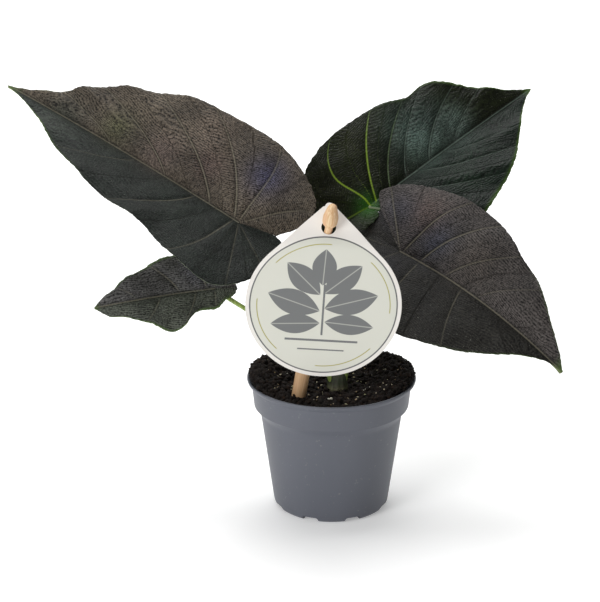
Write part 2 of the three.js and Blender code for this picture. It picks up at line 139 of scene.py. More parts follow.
# Each vein row: where the pair of side veins leaves the midrib, then where they meet the margin
# on the two sides, as (along, across). "main" lists each side's visible veins: the row where each
# ends, how bold it is, how many rows it bows off, and how yellow-green it is. The tones are the base
# colours of the two sides, partly leaf colour and partly painted light and shade: a side that faces
# the light gets the lighter tone. "patches" tint them: side, row, share of the way out, radius,
# colour; some are leaf colour, and some are painted sheen of the velvet and painted reflection on the
# glossy leaf.
LEAVES = {
    "a": {
        "stalk": (-65, 8, 208),
        "tip": (-231, 80, 288),
        "roll": -31,
        "fold": 0.42,
        "half_width": 72,
        "sag": 3,
        "bow": 0,
        "veins": (
            (0, (-27, -6), (-27, -6)),
            (0, (-38, 0), (-40, -24)),
            (0, (-38, 27), (-36, -42)),
            (0, (-30, 49), (-10, -58)),
            (0, (-12, 63), (21, -64)),
            (4, (23, 58), (62, -62)),
            (16, (50, 50), (88, -56)),
            (30, (73, 48.5), (110, -46)),
            (51, (98, 44), (129, -38)),
            (73, (124, 35), (144, -28)),
            (95, (144, 26), (155, -20)),
            (121, (162, 14), (166, -12)),
            (151, (179, 6), (179, -6)),
            (198, (198, 0), (198, 0)),
        ),
        "main": (
            ((2, 0.35, 0, 0), (3.4, 0.4, 0, 0), (5, 0.6, 0.2, 0), (7.3, 0.6, 0.1, 0), (9.6, 0.4, 0.1, 0)),
            (
                (1.5, 0.6, -0.3, 0),
                (3.6, 0.8, 0.3, 0),
                (5, 1, 0.1, 0),
                (6.6, 1, 0, 0),
                (8.5, 0.95, 0, 0),
                (10.5, 0.8, 0, 0),
            ),
        ),
        # Side 1 faces the light: its brown tone and patches are partly painted sheen of the velvet,
        # partly leaf colour.
        "tones_and_painted_light": ("#1B201C", "#4A433A"),
        "patches": (
            (1, 3.5, 0.6, 15, "#34344A"),
            (1, 5.4, 0.75, 18, "#594F46"),
            (1, 6.2, 0.4, 12, "#4E413C"),
            (1, 8.2, 0.35, 14, "#4E433E"),
            (1, 9.6, 0.5, 12, "#474733"),
            (0, 11.5, 0.5, 16, "#2F342E"),
        ),
        "green_from": (0.6, 0.75),
        "petiole": {"side": 138, "base": 2.1, "top": 1.8, "rise": 42, "reach": (-6, 16, -34)},
    },
    "b": {
        "stalk": (26.3, 48.2, 206.8),
        "tip": (150, 144.2, 269.3),
        "roll": 38,
        "fold": 0.36,
        "half_width": 62,
        "sag": 3,
        "bow": 0,
        "veins": (
            (0, (2, -8.5), (2, -8.5)),
            (0, (-4, -12), (8, -13)),
            (0, (-19, -11.5), (15, -19)),
            (0, (-35, -4), (24, -26)),
            (0, (-43, 12), (32, -37)),
            (0, (-39, 29), (40, -47)),
            (0, (-22, 46), (48, -54)),
            (2, (12, 55.5), (57, -59)),
            (8, (50, 55), (77, -53)),
            (22, (76, 47), (96, -46)),
            (40, (97, 47), (113, -36.5)),
            (61, (117, 34.5), (129, -24.5)),
            (86, (131.5, 21.5), (142, -14)),
            (115, (148, 10.5), (158, -4)),
            (168, (168, 0), (168, 0)),
        ),
        "main": (
            (
                (3.6, 0.3, 0, 0.3),
                (7, 0.9, 0.7, 1),
                (8, 1, 0.1, 0.9),
                (9, 0.8, 0.1, 0.15),
                (9.9, 0.8, 0.1, 0),
                (11, 0.9, 0.1, 0),
                (12, 0.6, 0, 0),
            ),
            ((5.5, 0.25, 0, 0), (7.5, 0.4, 0, 0), (9, 0.6, 0, 0), (10.35, 0.7, 0, 0), (11.4, 0.6, 0, 0)),
        ),
        "tones_and_painted_light": ("#14180B", "#111A13"),
        "patches": (
            # The first two patches are painted reflection: the silver sheen of the light on the glossy
            # blade.
            (0, 10.4, 0.45, 22, "#45544E"),
            (0, 11.8, 0.4, 14, "#414D47"),
            (0, 5.4, 0.7, 20, "#181A09"),
            (0, 7.4, 0.8, 14, "#171A09"),
            (1, 9.4, 0.6, 18, "#132016"),
        ),
        "green_from": (0.55, 0.2),
        "petiole": {"side": 68, "base": 2.1, "top": 1.8, "rise": 50, "reach": (1, 10, -30)},
    },
    "c": {
        "stalk": (48, 17, 184),
        "tip": (157, -54, 120),
        "roll": 45,
        "fold": 0.34,
        "half_width": 62,
        "sag": 8,
        "bow": 4,
        "veins": (
            (0, (-32.8, 17), (-32.8, 17)),
            (0, (-42, 27), (-35, 4)),
            (0, (-37.5, 34.5), (-43.5, -9)),
            (0, (-26.5, 43), (-41, -29)),
            (0, (-8, 50), (-27, -43)),
            (2, (22, 56), (-8, -53)),
            (17, (50, 54), (20, -55)),
            (38, (75, 44.5), (50, -50)),
            (58, (94, 38), (78, -38.5)),
            (79, (111, 27), (103, -21.5)),
            (99, (126, 16), (121, -7)),
            (120, (137, 8), (134, -0.5)),
            (145, (145, 0), (145, 0)),
        ),
        "main": (
            (
                (0.5, 0.5, 0, 0),
                (2, 0.7, 0, 0),
                (5, 0.9, 0.2, 0),
                (6, 0.9, 0.1, 0),
                (7, 0.6, 0, 0),
                (8.4, 0.35, 0, 0),
            ),
            ((2, 0.25, 0, 0), (4.3, 0.35, 0, 0), (6, 0.5, 0, 0), (7.8, 0.4, 0, 0)),
        ),
        # Side 0 faces the light: its lighter tone and patches are partly painted light, partly leaf
        # colour.
        "tones_and_painted_light": ("#3E3A38", "#1D1C19"),
        "patches": (
            (0, 5.5, 0.35, 15, "#2E323E"),
            (0, 4.2, 0.6, 16, "#423733"),
            (0, 7, 0.5, 18, "#37322E"),
            (0, 2.5, 0.6, 14, "#36353B"),
            (1, 5, 0.4, 14, "#242329"),
        ),
        "green_from": (0.6, 0.6),
        "petiole": {"side": -2, "base": 2.1, "top": 1.8, "rise": 46, "reach": (-12, 12, -24)},
    },
    "d": {
        "stalk": (-82, -5, 164),
        "tip": (-166, -15, 153),
        "roll": -44,
        "fold": 0.3,
        "half_width": 34,
        "sag": 2,
        "bow": 0,
        "veins": (
            (0, (-16, 2), (-16, 2)),
            (0, (-13, 7), (-14, -8)),
            (0, (-6.5, 11), (-8, -19)),
            (0, (1, 17.5), (2, -26)),
            (5, (14, 18), (15, -29)),
            (13, (25.5, 28), (29, -27)),
            (24, (37, 30), (43, -23)),
            (38, (50, 20.5), (57, -18)),
            (54, (62.5, 13.5), (68, -11.5)),
            (70, (75, 10), (77.5, -6)),
            (85, (85, 0), (85, 0)),
        ),
        "main": (
            ((3, 0.5, 0, 0), (5, 0.7, 0, 0), (7, 0.6, 0, 0)),
            ((2, 0.5, 0, 0), (4, 0.7, 0, 0), (6, 0.7, 0, 0), (8, 0.4, 0, 0)),
        ),
        "tones_and_painted_light": ("#464942", "#474645"),
        "patches": ((0, 6, 0.6, 14, "#53564E"), (1, 4, 0.5, 12, "#45444B")),
        "green_from": (0, 0.2),
        "petiole": {"side": 210, "base": 2.1, "top": 1.6, "rise": 28, "reach": (34, 0, -25)},
    },
}
LEAF_SLOTS = {"a": "leaf_dark", "b": "leaf_green", "c": "leaf_dark", "d": "leaf_dark"}

# What a blade stores at each point, in millimetres or from 0 to 1, for its materials to follow
LEAF_MEASURES = ("vein_off", "vein_bold", "vein_lime", "midrib_off", "young", "joint")

# Label card, in millimetres: a disc with an apex, bent back over the neck of the stick
CARD_CENTRE = Vector((-6.4, -45, 165.6))
CARD_LEAN = math.radians(4.5)
CARD_TURN = math.radians(3.5)
CARD_RADIUS = 53.3
CARD_APEX = 76.2
CARD_SLOPE = CARD_RADIUS / math.sqrt(CARD_APEX**2 - CARD_RADIUS**2)
CARD_TIP_RADIUS = 3
CARD_TIP = CARD_APEX - CARD_TIP_RADIUS * (math.hypot(1, 1 / CARD_SLOPE) - 1)
CARD_THICKNESS = 0.7
CARD_BEND_START = 41.7
CARD_BEND_RADIUS = 19.3
CARD_BEND_ANGLE = math.radians(45)
CARD_HOLE_RADIUS = 5
CARD_HOLE_AT = CARD_BEND_START + CARD_BEND_RADIUS * CARD_BEND_ANGLE

# Stick, in millimetres along its axis from the card's hole
STICK_LEAN = math.radians(9.1)
STICK_PROFILE = (
    (0, -156),
    (1.2, -155),
    (5, -140),
    (5, -13.8),
    (4.2, -10.4),
    (3.3, -7),
    (2.6, -4.4),
    (2.6, 0.8),
    (3.4, 1.6),
    (4.6, 3),
    (5.2, 4.8),
    (5.2, 8.7),
    (4.6, 11),
    (3.9, 13.2),
    (3.3, 15.2),
    (2.4, 16.9),
    (1.2, 17.7),
    (0, 17.9),
)
HEAD_FORWARD = 1.5
HEAD_SHIFT_FROM = -5
HEAD_SHIFT_RISE = 6
# Stretch along the stick's axis over which painted shadow of the card darkens the wood, fullest towards
# the foot.
STICK_CARD_SHADOW = (-110 * MM, -70 * MM)

# Camera: as far as the photograph's own perspective asks, in metres, degrees and pixels
VIEW_DOWN = math.radians(19.73)
VIEW_TARGET = Vector((-0.02235, 0, 0.15288))
VIEW_DISTANCE = 1.6
FOCAL_PIXELS = 2281.7
PHOTO_LONG_SIDE = 602
SENSOR = 36

# Lights, each as name, place, point it aims at, size in metres and power in watts
PLANT_MIDDLE = Vector((0, 0, 0.15))
LIGHTS = (
    ("key", Vector((-1.4, -1.55, 0.95)), PLANT_MIDDLE, 0.9, 26),
    ("top", Vector((-0.2, 0.5, 2.2)), PLANT_MIDDLE, 1.5, 36),
    ("sweep", Vector((0, 1.8, 1.6)), Vector((0, 1.8, 0)), 2, 26),
)
SKY_STRENGTH = 0.18
FLOOR_GLOW = 0.28


def srgb(code):
    """An sRGB hex colour as linear RGBA."""
    channels = [int(code[i : i + 2], 16) / 255 for i in (1, 3, 5)]
    linear = [c / 12.92 if c <= 0.04045 else ((c + 0.055) / 1.055) ** 2.4 for c in channels]
    return (*linear, 1.0)


def colour_property(name, description, code):
    return bpy.props.FloatVectorProperty(
        name=name, description=description, subtype="COLOR", size=4, min=0, max=1, default=srgb(code)
    )


class AlocasiaLeafSettings(bpy.types.PropertyGroup):
    # Colour of the painted shade laid along the sunken flanks of the veins and the midrib.
    shade: colour_property("Deep velvet", "Darkest patches of the upper face", "#14150F")
    green: colour_property("Young green", "Green at the tip, the edge and the stalk's joint", "#4E6B2C")
    underside: colour_property("Underside", "Pale dull green of the lower face", "#5B6A4A")
    vein: colour_property("Vein", "Paler line of a vein in the dark leaves", "#716C5C")
    lime: colour_property("Lime vein", "Yellow-green veins of the glossy leaf", "#7E9A22")


class AlocasiaPotSettings(bpy.types.PropertyGroup):
    plastic: colour_property("Plastic", "Blue-grey of the moulded pot", "#5B5E67")
    soil: colour_property("Soil", "Near-black brown of the damp peat", "#160E0A")
    stalk: colour_property("Stalk", "Green of the leaf stalks", "#8FA552")
    crumbs: bpy.props.IntProperty(
        name="Crumbs", description="Loose crumbs lying on the soil", default=1500, min=0, max=4000
    )


class AlocasiaLabelSettings(bpy.types.PropertyGroup):
    paper: colour_property("Card", "Coated card outside the ring", "#E8E4DE")
    field: colour_property("Field", "Pale cream inside the ring", "#D4D4C9")
    wood: colour_property("Wood", "Raw wood of the stick", "#D9B68C")
    ink: colour_property("Ink", "Grey of the printed sprig and ring", "#6E7070")


def material(name):
    """A new material and its node tree, with a Principled shader already linked to its output."""
    made = bpy.data.materials.new(name)
    made.use_nodes = True
    tree = made.node_tree
    return made, tree, tree.nodes["Principled BSDF"]


def fill(node, **inputs):
    """Sets a node's inputs, by name or as _6 by number, to values or to other nodes' outputs."""
    for key, value in inputs.items():
        socket = node.inputs[int(key[1:]) if key[1:].isdigit() else key.replace("_", " ")]
        if isinstance(value, bpy.types.NodeSocket):
            node.id_data.links.new(value, socket)
        else:
            socket.default_value = value


def add_node(tree, kind, settings=None, *values, out=0, stops=(), **inputs):
    """Adds a node and gives one of its outputs. Its settings are a dictionary, or only its operation,
    stops are a ramp's positions and colours, and its inputs come in order or as fill takes them."""
    node = tree.nodes.new("ShaderNode" + kind)
    if isinstance(settings, str):
        settings = {"operation": settings}
    for key, value in (settings or {}).items():
        setattr(node, key, value)
    for _ in stops[2:]:
        node.color_ramp.elements.new(0.5)
    for element, (position, colour) in zip(node.color_ramp.elements if stops else (), stops):
        element.position = position
        element.color = colour
    fill(node, **{f"_{i}": value for i, value in enumerate(values)}, **inputs)
    return node.outputs[out]


def coats(tree, colour, *layers):
    """Lays coats over a first colour, each covering by the product of its masks and strengths."""
    for coat, cover, *factors in layers:
        for factor in factors:
            cover = add_node(tree, "Math", "MULTIPLY", cover, factor)
        colour = add_node(tree, "Mix", {"data_type": "RGBA"}, cover, _6=colour, _7=coat, out=2)
    return colour


def grey(value):
    return (value, value, value, 1.0)


def finish_piece(name, bm, materials, slot, *nodes):
    """Makes a bmesh, in metres, into a smooth piece that rides on the part and replaces its CAD nodes."""
    mesh = bpy.data.meshes.new(name)
    for face in bm.faces:
        face.smooth = True
    bm.to_mesh(mesh)
    bm.free()
    for finish in materials:
        mesh.materials.append(finish)
    piece = bpy.data.objects.new(name, mesh)
    bpy.context.scene.collection.objects.link(piece)
    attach(piece, "root")
    if nodes:
        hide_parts(*nodes)
    return piece


def apply_modifiers(piece):
    """Makes the piece's mesh what its modifiers show, and removes them."""
    shown = piece.evaluated_get(bpy.context.evaluated_depsgraph_get())
    finished = bpy.data.meshes.new_from_object(shown)
    piece.modifiers.clear()
    old = piece.data
    piece.data = finished
    bpy.data.meshes.remove(old)


def cut_away(piece, cutter):
    """Takes a bmesh away from a piece."""
    mesh = bpy.data.meshes.new("cutter")
    cutter.to_mesh(mesh)
    cutter.free()
    tool = bpy.data.objects.new("cutter", mesh)
    bpy.context.scene.collection.objects.link(tool)
    cut = piece.modifiers.new("Cut", "BOOLEAN")
    cut.operation = "DIFFERENCE"
    cut.solver = "EXACT"
    cut.object = tool
    apply_modifiers(piece)
    bpy.data.objects.remove(tool)
    bpy.data.meshes.remove(mesh)


def sharpen(piece, degrees):
    """Shades a piece smooth except over edges sharper than an angle."""
    bm = bmesh.new()
    bm.from_mesh(piece.data)
    for edge in bm.edges:
        if len(edge.link_faces) == 2:
            edge.smooth = edge.calc_face_angle(0) < math.radians(degrees)
    for face in bm.faces:
        face.smooth = True
    bm.to_mesh(piece.data)
    bm.free()


def spun(profile, steps, soften=None):
    """A closed bmesh turned about Z from (radius, height) pairs; soften rounds the outline's corners."""
    bm = bmesh.new()
    line = [bm.verts.new((radius, 0, height)) for radius, height in profile]
    for low, high in zip(line, line[1:]):
        bm.edges.new((low, high))
    if soften:
        bmesh.ops.bevel(
            bm,
            geom=line[1:-1],
            offset=soften,
            offset_type="OFFSET",
            segments=3,
            profile=0.5,
            affect="VERTICES",
            clamp_overlap=True,
            material=-1,
        )
    bmesh.ops.spin(
        bm,
        geom=bm.verts[:] + bm.edges[:],
        cent=(0, 0, 0),
        axis=(0, 0, 1),
        angle=2 * math.pi,
        steps=steps,
        use_merge=True,
    )
    bmesh.ops.remove_doubles(bm, verts=bm.verts, dist=0.002 * MM)
    bmesh.ops.recalc_face_normals(bm, faces=bm.faces)
    return bm


def tube(centres, radii, around):
    """A closed tube along points, made from a grid that is rolled up."""
    bm = bmesh.new()
    steps = len(centres) - 1
    bmesh.ops.create_grid(bm, x_segments=around, y_segments=steps, size=1)
    tangents = [
        (centres[min(i + 1, steps)] - centres[max(i - 1, 0)]).normalized() for i in range(steps + 1)
    ]
    side = tangents[0].orthogonal().normalized()
    sides = [side]
    for before, after in zip(tangents, tangents[1:]):
        side = before.rotation_difference(after) @ side
        sides.append(side)
    for vert in bm.verts:
        i = round((vert.co.y + 1) / 2 * steps)
        angle = (vert.co.x + 1) * math.pi
        out = sides[i] * math.cos(angle) + tangents[i].cross(sides[i]) * math.sin(angle)
        vert.co = centres[i] + out * radii[i]
    bmesh.ops.remove_doubles(bm, verts=bm.verts, dist=0.002 * MM)
    bmesh.ops.holes_fill(bm, edges=bm.edges, sides=0)
    bmesh.ops.recalc_face_normals(bm, faces=bm.faces)
    return bm


# Leaf blades


def leaf_axes(leaf):
    """The stalk's joint, the axes along, across and up from the blade, and its length."""
    origin = Vector(leaf["stalk"])
    along = Vector(leaf["tip"]) - origin
    length = along.length
    along.normalize()
    up = (Vector((0, 0, 1)) - along * along.z).normalized()
    normal = Matrix.Rotation(math.radians(leaf["roll"]), 3, along) @ up
    return origin, along, normal.cross(along), normal, length


def margin_point(leaf, side, row):
    """A point of the blade's outline, on a smooth curve through the ends of its veins."""
    points = [Vector(vein[1 + side]) for vein in leaf["veins"]]
    last = len(points) - 1
    first = min(int(row), last)
    t = row - first
    before, start = points[max(first - 1, 0)], points[first]
    end, after = points[min(first + 1, last)], points[min(first + 2, last)]
    leave, arrive = (end - before) / 2, (after - start) / 2
    cubic = 2 * start - 2 * end + leave + arrive
    square = -3 * start + 3 * end - 2 * leave - arrive
    return cubic * t**3 + square * t**2 + leave * t + start


def blade_point(leaf, axes, margin, side, row, share):
    """A point of the blade's upper face, how far along the blade it lies, and its distance from the
    midrib.
    """
    origin, along_axis, across_axis, normal, length = axes
    first = min(int(row), len(leaf["veins"]) - 2)
    roots = leaf["veins"][first][0], leaf["veins"][first + 1][0]
    root = roots[0] + (roots[1] - roots[0]) * (row - first)
    sweep = VEIN_SWEEP * max(0, margin.x - root) * 4 * share * (1 - share)
    along = root + (margin.x - root) * share - sweep
    bow = leaf["bow"] * 4 * root * (length - root) / length**2
    across = bow + (margin.y - bow) * share
    reach = abs(across - bow)
    camber = leaf["sag"] * 4 * along * (length - along) / length**2
    arch = leaf["fold"] * (reach - reach**2 / (2.2 * leaf["half_width"]))
    grown = (row - QUILT_ROWS[0]) / (QUILT_ROWS[1] - QUILT_ROWS[0])
    broad = min(1, reach / QUILT_REACH) * min(1, max(QUILT_AT_JOINT, grown))
    ripple = math.sin(math.pi * row)
    quilt = BLADE_QUILT * broad * ripple**2 * (1 - 0.5 * share)
    wave = BLADE_WAVE * broad * share**3 * ripple * (1 if side == 0 else -1)
    height = camber + arch + quilt + wave
    return origin + along_axis * along + across_axis * across + normal * height, along, reach


def bell(distance, width):
    return math.exp(-((distance / width) ** 2))


def ridge(distance, crest, flank):
    """Height of a ridge between sunken flanks, both given as height and half width."""
    return crest[0] * bell(distance, crest[1]) - flank[0] * bell(distance, flank[1])


def uneven(point, noises):
    """The sum at a point in millimetres of noises that are given as height and frequency."""
    return sum(height * noise.noise(point * frequency) for height, frequency in noises)


def surface(leaf, axes, side, row, share):
    """blade_point for a row that may lie anywhere, kept within the blade."""
    row = min(len(leaf["veins"]) - 1, max(0, row))
    point, _, _ = blade_point(leaf, axes, margin_point(leaf, side, row), side, row, share)
    return point


def nearest_vein(leaf, axes, side, row, share, point):
    """Signed distance in millimetres to the nearest visible vein, with its boldness and its lime."""
    best = NO_VEIN
    for end_row, bold, bow, lime in leaf["main"][side]:
        vein_row = end_row - bow * 4 * share * (1 - share)
        if abs(row - vein_row) > VEIN_SEARCH:
            continue
        distance = (point - surface(leaf, axes, side, vein_row, share)).length
        if distance < abs(best[0]):
            best = (math.copysign(distance, row - vein_row), bold, lime)
    return best


def blade_tint(leaf, axes, patches, side, point):
    """Base colour of the pile at a point, from the side's own tone and the patches near it, which carry
    painted light: the lit side's lighter tone, painted sheen and painted reflection.
    """
    colour = Vector(srgb(leaf["tones_and_painted_light"][side])[:3])
    for centre, radius, patch in patches:
        weight = bell((point - centre).length, radius)
        colour = colour.lerp(patch, 0.85 * weight)
    return colour


def blade_mesh(leaf):
    """One blade's upper face as a grid: across it the share of a vein, along it the vein rows."""
    axes = leaf_axes(leaf)
    normal, length = axes[3], axes[4]
    rows = len(leaf["veins"]) - 1
    patches = [
        (surface(leaf, axes, side, row, share), radius, Vector(srgb(code)[:3]))
        for side, row, share, radius, code in leaf["patches"]
    ]
    margins = [
        [margin_point(leaf, side, step / BLADE_STEPS) for step in range(rows * BLADE_STEPS + 1)]
        for side in (0, 1)
    ]
    bm = bmesh.new()
    bmesh.ops.create_grid(bm, x_segments=BLADE_COLUMNS, y_segments=rows * BLADE_STEPS, size=1)
    thickness = bm.verts.layers.deform.verify()
    layers = {name: bm.verts.layers.float.new(name) for name in LEAF_MEASURES}
    lamina = bm.verts.layers.float_vector.new("lamina")
    tint = bm.verts.layers.float_vector.new("tint")
    for vert in bm.verts:
        side = 0 if vert.co.x >= 0 else 1
        share = min(1, abs(vert.co.x))
        step = round((vert.co.y + 1) / 2 * rows * BLADE_STEPS)
        row = step / BLADE_STEPS
        margin = margins[side][step]
        point, along, reach = blade_point(leaf, axes, margin, side, row, share)
        off_vein, bold, lime = nearest_vein(leaf, axes, side, row, share, point)
        run = share * (margin - Vector((max(0, min(along, margin.x)), 0))).length
        off_margin = (1 - share) * margin.length
        open_out = min(1, reach / 5)
        fade = bold * open_out * (1 - 0.6 * share**2)
        groove = fade * ridge(off_vein, VEIN_CREST, VEIN_FLANK)
        past_joint = max(0, -along)
        off_midrib = reach + past_joint
        rib = ridge(off_midrib, MIDRIB_CREST, MIDRIB_FLANK)
        puckers = uneven(point, PUCKERS)
        bend = 2.4 * noise.noise(point * 0.11) + 0.05 * off_vein
        wrinkles = WRINKLE_HEIGHT * math.sin(2 * math.pi * run / WRINKLE_PITCH + 2 * bend)
        edge = share**10
        curl = edge * (0.5 * noise.noise(point * 0.3) - 0.5)
        bulge = BLADE_BULGE * bold * (1 - bell(off_vein, 4)) * (1 - share**3)
        relief = groove + rib + (puckers + wrinkles + bulge) * open_out + curl
        near_tip = min(1, max(0, (length - along) / 8 + 0.1))
        outward = (point - axes[0]).normalized() * edge * uneven(point, SCALLOPS) * near_tip
        vert.co = (point + normal * relief * near_tip + outward) * MM
        vert[layers["vein_off"]] = off_vein
        vert[layers["vein_bold"]] = fade
        vert[layers["vein_lime"]] = lime * (1 - share**4)
        vert[layers["midrib_off"]] = off_midrib
        tip = min(1, max(0, (along / length - 0.93) / 0.07))
        upper = min(1, max(0, (row / rows - leaf["green_from"][side]) / 0.3))
        vert[layers["young"]] = max(tip**1.5, bell(off_margin, 1.6) * upper)
        vert[layers["joint"]] = bell((point - axes[0]).length, 9)
        vert[lamina] = (run * MM, off_vein * MM, side)
        vert[tint] = blade_tint(leaf, axes, patches, side, point)
        rib_depth = BLADE_MIDRIB * bell(reach, 1.3) + 0.6 * bold * bell(off_vein, 1.1) * (1 - share)
        vert[thickness][0] = min(1, (BLADE_THICKNESS * (1 - 0.4 * edge) + rib_depth) / THICKEST)
    bmesh.ops.remove_doubles(bm, verts=bm.verts, dist=0.01 * MM)
    bmesh.ops.dissolve_degenerate(bm, edges=bm.edges, dist=0.001 * MM)
    facing = sum((face.normal * face.calc_area() for face in bm.faces), Vector())
    if facing.dot(normal) < 0:
        bmesh.ops.reverse_faces(bm, faces=bm.faces)
    return bm


def add_blade(key, leaf, finishes):
    piece = finish_piece(f"blade_{key}", blade_mesh(leaf), finishes, LEAF_SLOTS[key], f"leaf_{key}")
    piece.vertex_groups.new(name="thickness")
    shell = piece.modifiers.new("Blade thickness", "SOLIDIFY")
    shell.thickness = THICKEST * MM
    shell.offset = -1
    shell.vertex_group = "thickness"
    shell.material_offset = 1
    shell.material_offset_rim = 2
    return piece


def line_mask(tree, distance, middle, half_width, solid=0):
    """A line over a distance: 1 as far as its solid part reaches from its middle, and 0 beyond its
    half width."""
    off = add_node(tree, "Math", "SUBTRACT", add_node(tree, "Math", "ABSOLUTE", distance), middle)
    near = add_node(tree, "Math", "ABSOLUTE", off)
    return add_node(
        tree, "MapRange", Value=near, From_Min=solid, From_Max=half_width, To_Min=1, To_Max=0
    )


def ladder(tree, place, pitch):
    """Height, from 0 to 1, of fine wrinkles that cross between the side veins like rungs."""
    lamina = add_node(tree, "Attribute", {"attribute_name": "lamina"}, out="Vector")
    run, off_vein = (add_node(tree, "SeparateXYZ", Vector=lamina, out=axis) for axis in "XY")
    wander = add_node(tree, "TexNoise", Vector=place, Scale=130, Detail=2)
    arch = add_node(tree, "Math", "MULTIPLY", add_node(tree, "Math", "ABSOLUTE", off_vein), 900)
    shift = add_node(tree, "Math", "MULTIPLY_ADD", wander, 15, arch)
    turns = add_node(tree, "Math", "MULTIPLY_ADD", run, 2 * math.pi / pitch, shift)
    rungs = add_node(tree, "Math", "MULTIPLY_ADD", add_node(tree, "Math", "SINE", turns), 0.5, 0.5)
    grain = add_node(tree, "TexNoise", Vector=place, Scale=800, Detail=2)
    breaks = add_node(tree, "MapRange", Value=grain, From_Min=0.3, From_Max=0.7)
    rough = add_node(tree, "Math", "MULTIPLY", breaks, 0.68)
    return add_node(tree, "Math", "MULTIPLY_ADD", rungs, 0.38, rough)


def leaf_face(name, settings, look):
    """The shared make-up of an upper face: pile over wrinkles, darkened in their valleys and lightened on
    their crests as painted shade and highlight, then painted shade along the veins' sunken flanks, the
    veins, joint, dust and tip.
    """
    made, tree, shader = material(name)
    place = add_node(tree, "TexCoord", out="Object")
    rungs = ladder(tree, place, look["pitch"] * MM)
    off, bold, lime, midrib, young, joint = (
        add_node(tree, "Attribute", {"attribute_name": measure}, out="Fac") for measure in LEAF_MEASURES
    )
    cloud = add_node(tree, "TexNoise", Vector=place, Scale=38, Detail=4, Roughness=0.6)
    clouded = add_node(
        tree, "MapRange", Value=cloud, From_Min=0.3, From_Max=0.7, To_Min=0.6, To_Max=1.4
    )
    # Painted light and shade: the wrinkles' valleys darken the pile and their crests lighten it, by the
    # same heights that drive the bump.
    depth = add_node(tree, "MapRange", Value=rungs, From_Min=0.12, From_Max=0.95, **look["wrinkle_light_and_shade"])
    shade = add_node(tree, "Math", "MULTIPLY", clouded, depth)
    tint = add_node(tree, "Attribute", {"attribute_name": "tint"}, out="Vector")
    dust = add_node(tree, "TexNoise", Vector=place, Scale=1300, Detail=1)
    colour = coats(
        tree,
        add_node(tree, "VectorMath", "SCALE", tint, Scale=shade),
        # Painted shade: the sunken flanks beside the side veins and the midrib are darkened with the deep
        # velvet colour.
        (settings.shade, line_mask(tree, off, 1.15, 0.8), bold, 0.8),
        (settings.shade, line_mask(tree, midrib, 1.1, 0.7), 0.6),
        (look["vein"], line_mask(tree, off, 0, 0.75), bold, look["vein_show"]),
        (look["vein"], line_mask(tree, midrib, 0, 0.7), 0.8),
        (srgb("#2A5A18"), joint, look["joint"]),
        (settings.lime, line_mask(tree, off, 0, 1.05), lime),
        (srgb("#8B8D84"), add_node(tree, "MapRange", None, dust, 0.72, 0.8, 0, 0.7)),
        (settings.green, young, look["young"]),
    )
    fill(
        shader,
        Base_Color=colour,
        Roughness=add_node(tree, "MapRange", Value=cloud, **look["roughness"]),
        IOR=1.45,
        Specular_IOR_Level=look["specular"],
        Sheen_Weight=look["sheen"],
        Sheen_Roughness=0.4,
        Sheen_Tint=srgb("#B9B2A6"),
        Normal=add_node(tree, "Bump", Strength=1, Distance=look["relief"] * MM, Height=rungs),
    )
    return made


def velvet_leaf(settings):
    """Alocasia leaf, upper face: soft short pile over a wrinkled dark blade, dull but for a sheen."""
    look = {
        "pitch": 1.4,
        "wrinkle_light_and_shade": {"To_Min": 0.05, "To_Max": 2.0},
        "vein": settings.vein,
        "vein_show": 0.9,
        "joint": 0.0,
        "young": 0.8,
        "roughness": {"To_Min": 0.45, "To_Max": 0.62},
        "specular": 0.18,
        "sheen": 0.04,
        "relief": 0.42,
    }
    return leaf_face("velvet_leaf_face", settings, look)


def glossy_leaf(settings):
    """Alocasia leaf at a younger stage: black-green and smoother, so that it glints between its veins."""
    look = {
        "pitch": 1.7,
        "wrinkle_light_and_shade": {"To_Min": 0.3, "To_Max": 1.8},
        "vein": srgb("#5E6C62"),
        "vein_show": 0.8,
        "joint": 0.7,
        "young": 1.0,
        "roughness": {"To_Min": 0.32, "To_Max": 0.48},
        "specular": 0.14,
        "sheen": 0.01,
        "relief": 0.4,
    }
    return leaf_face("green_leaf_face", settings, look)


def leaf_underside(settings):
    """Alocasia leaf, lower face: bald, pale and dull, with its veins raised and paler still."""
    made, tree, shader = material("leaf_underside")
    place = add_node(tree, "TexCoord", out="Object")
    patches = add_node(tree, "TexNoise", Vector=place, Scale=60, Detail=4)
    stops = ((0.35, srgb("#4A573D")), (0.65, settings.underside))
    base = add_node(tree, "ValToRGB", Fac=patches, stops=stops)
    off, bold, midrib = (
        add_node(tree, "Attribute", {"attribute_name": measure}, out="Fac")
        for measure in ("vein_off", "vein_bold", "midrib_off")
    )
    side_vein = add_node(tree, "Math", "MULTIPLY", line_mask(tree, off, 0, 1.6), 0.9)
    side_veins = add_node(tree, "Math", "MULTIPLY", side_vein, bold)
    either = add_node(tree, "Math", "MAXIMUM", side_veins, line_mask(tree, midrib, 0, 2.2))
    colour = coats(tree, base, (srgb("#93A070"), either))
    net = add_node(tree, "TexVoronoi", {"feature": "DISTANCE_TO_EDGE"}, Vector=place, Scale=420)
    relief = add_node(tree, "Bump", Strength=0.4, Distance=0.15 * MM, Height=net)
    fill(shader, Base_Color=colour, Roughness=0.58, IOR=1.42, Normal=relief)
    return made


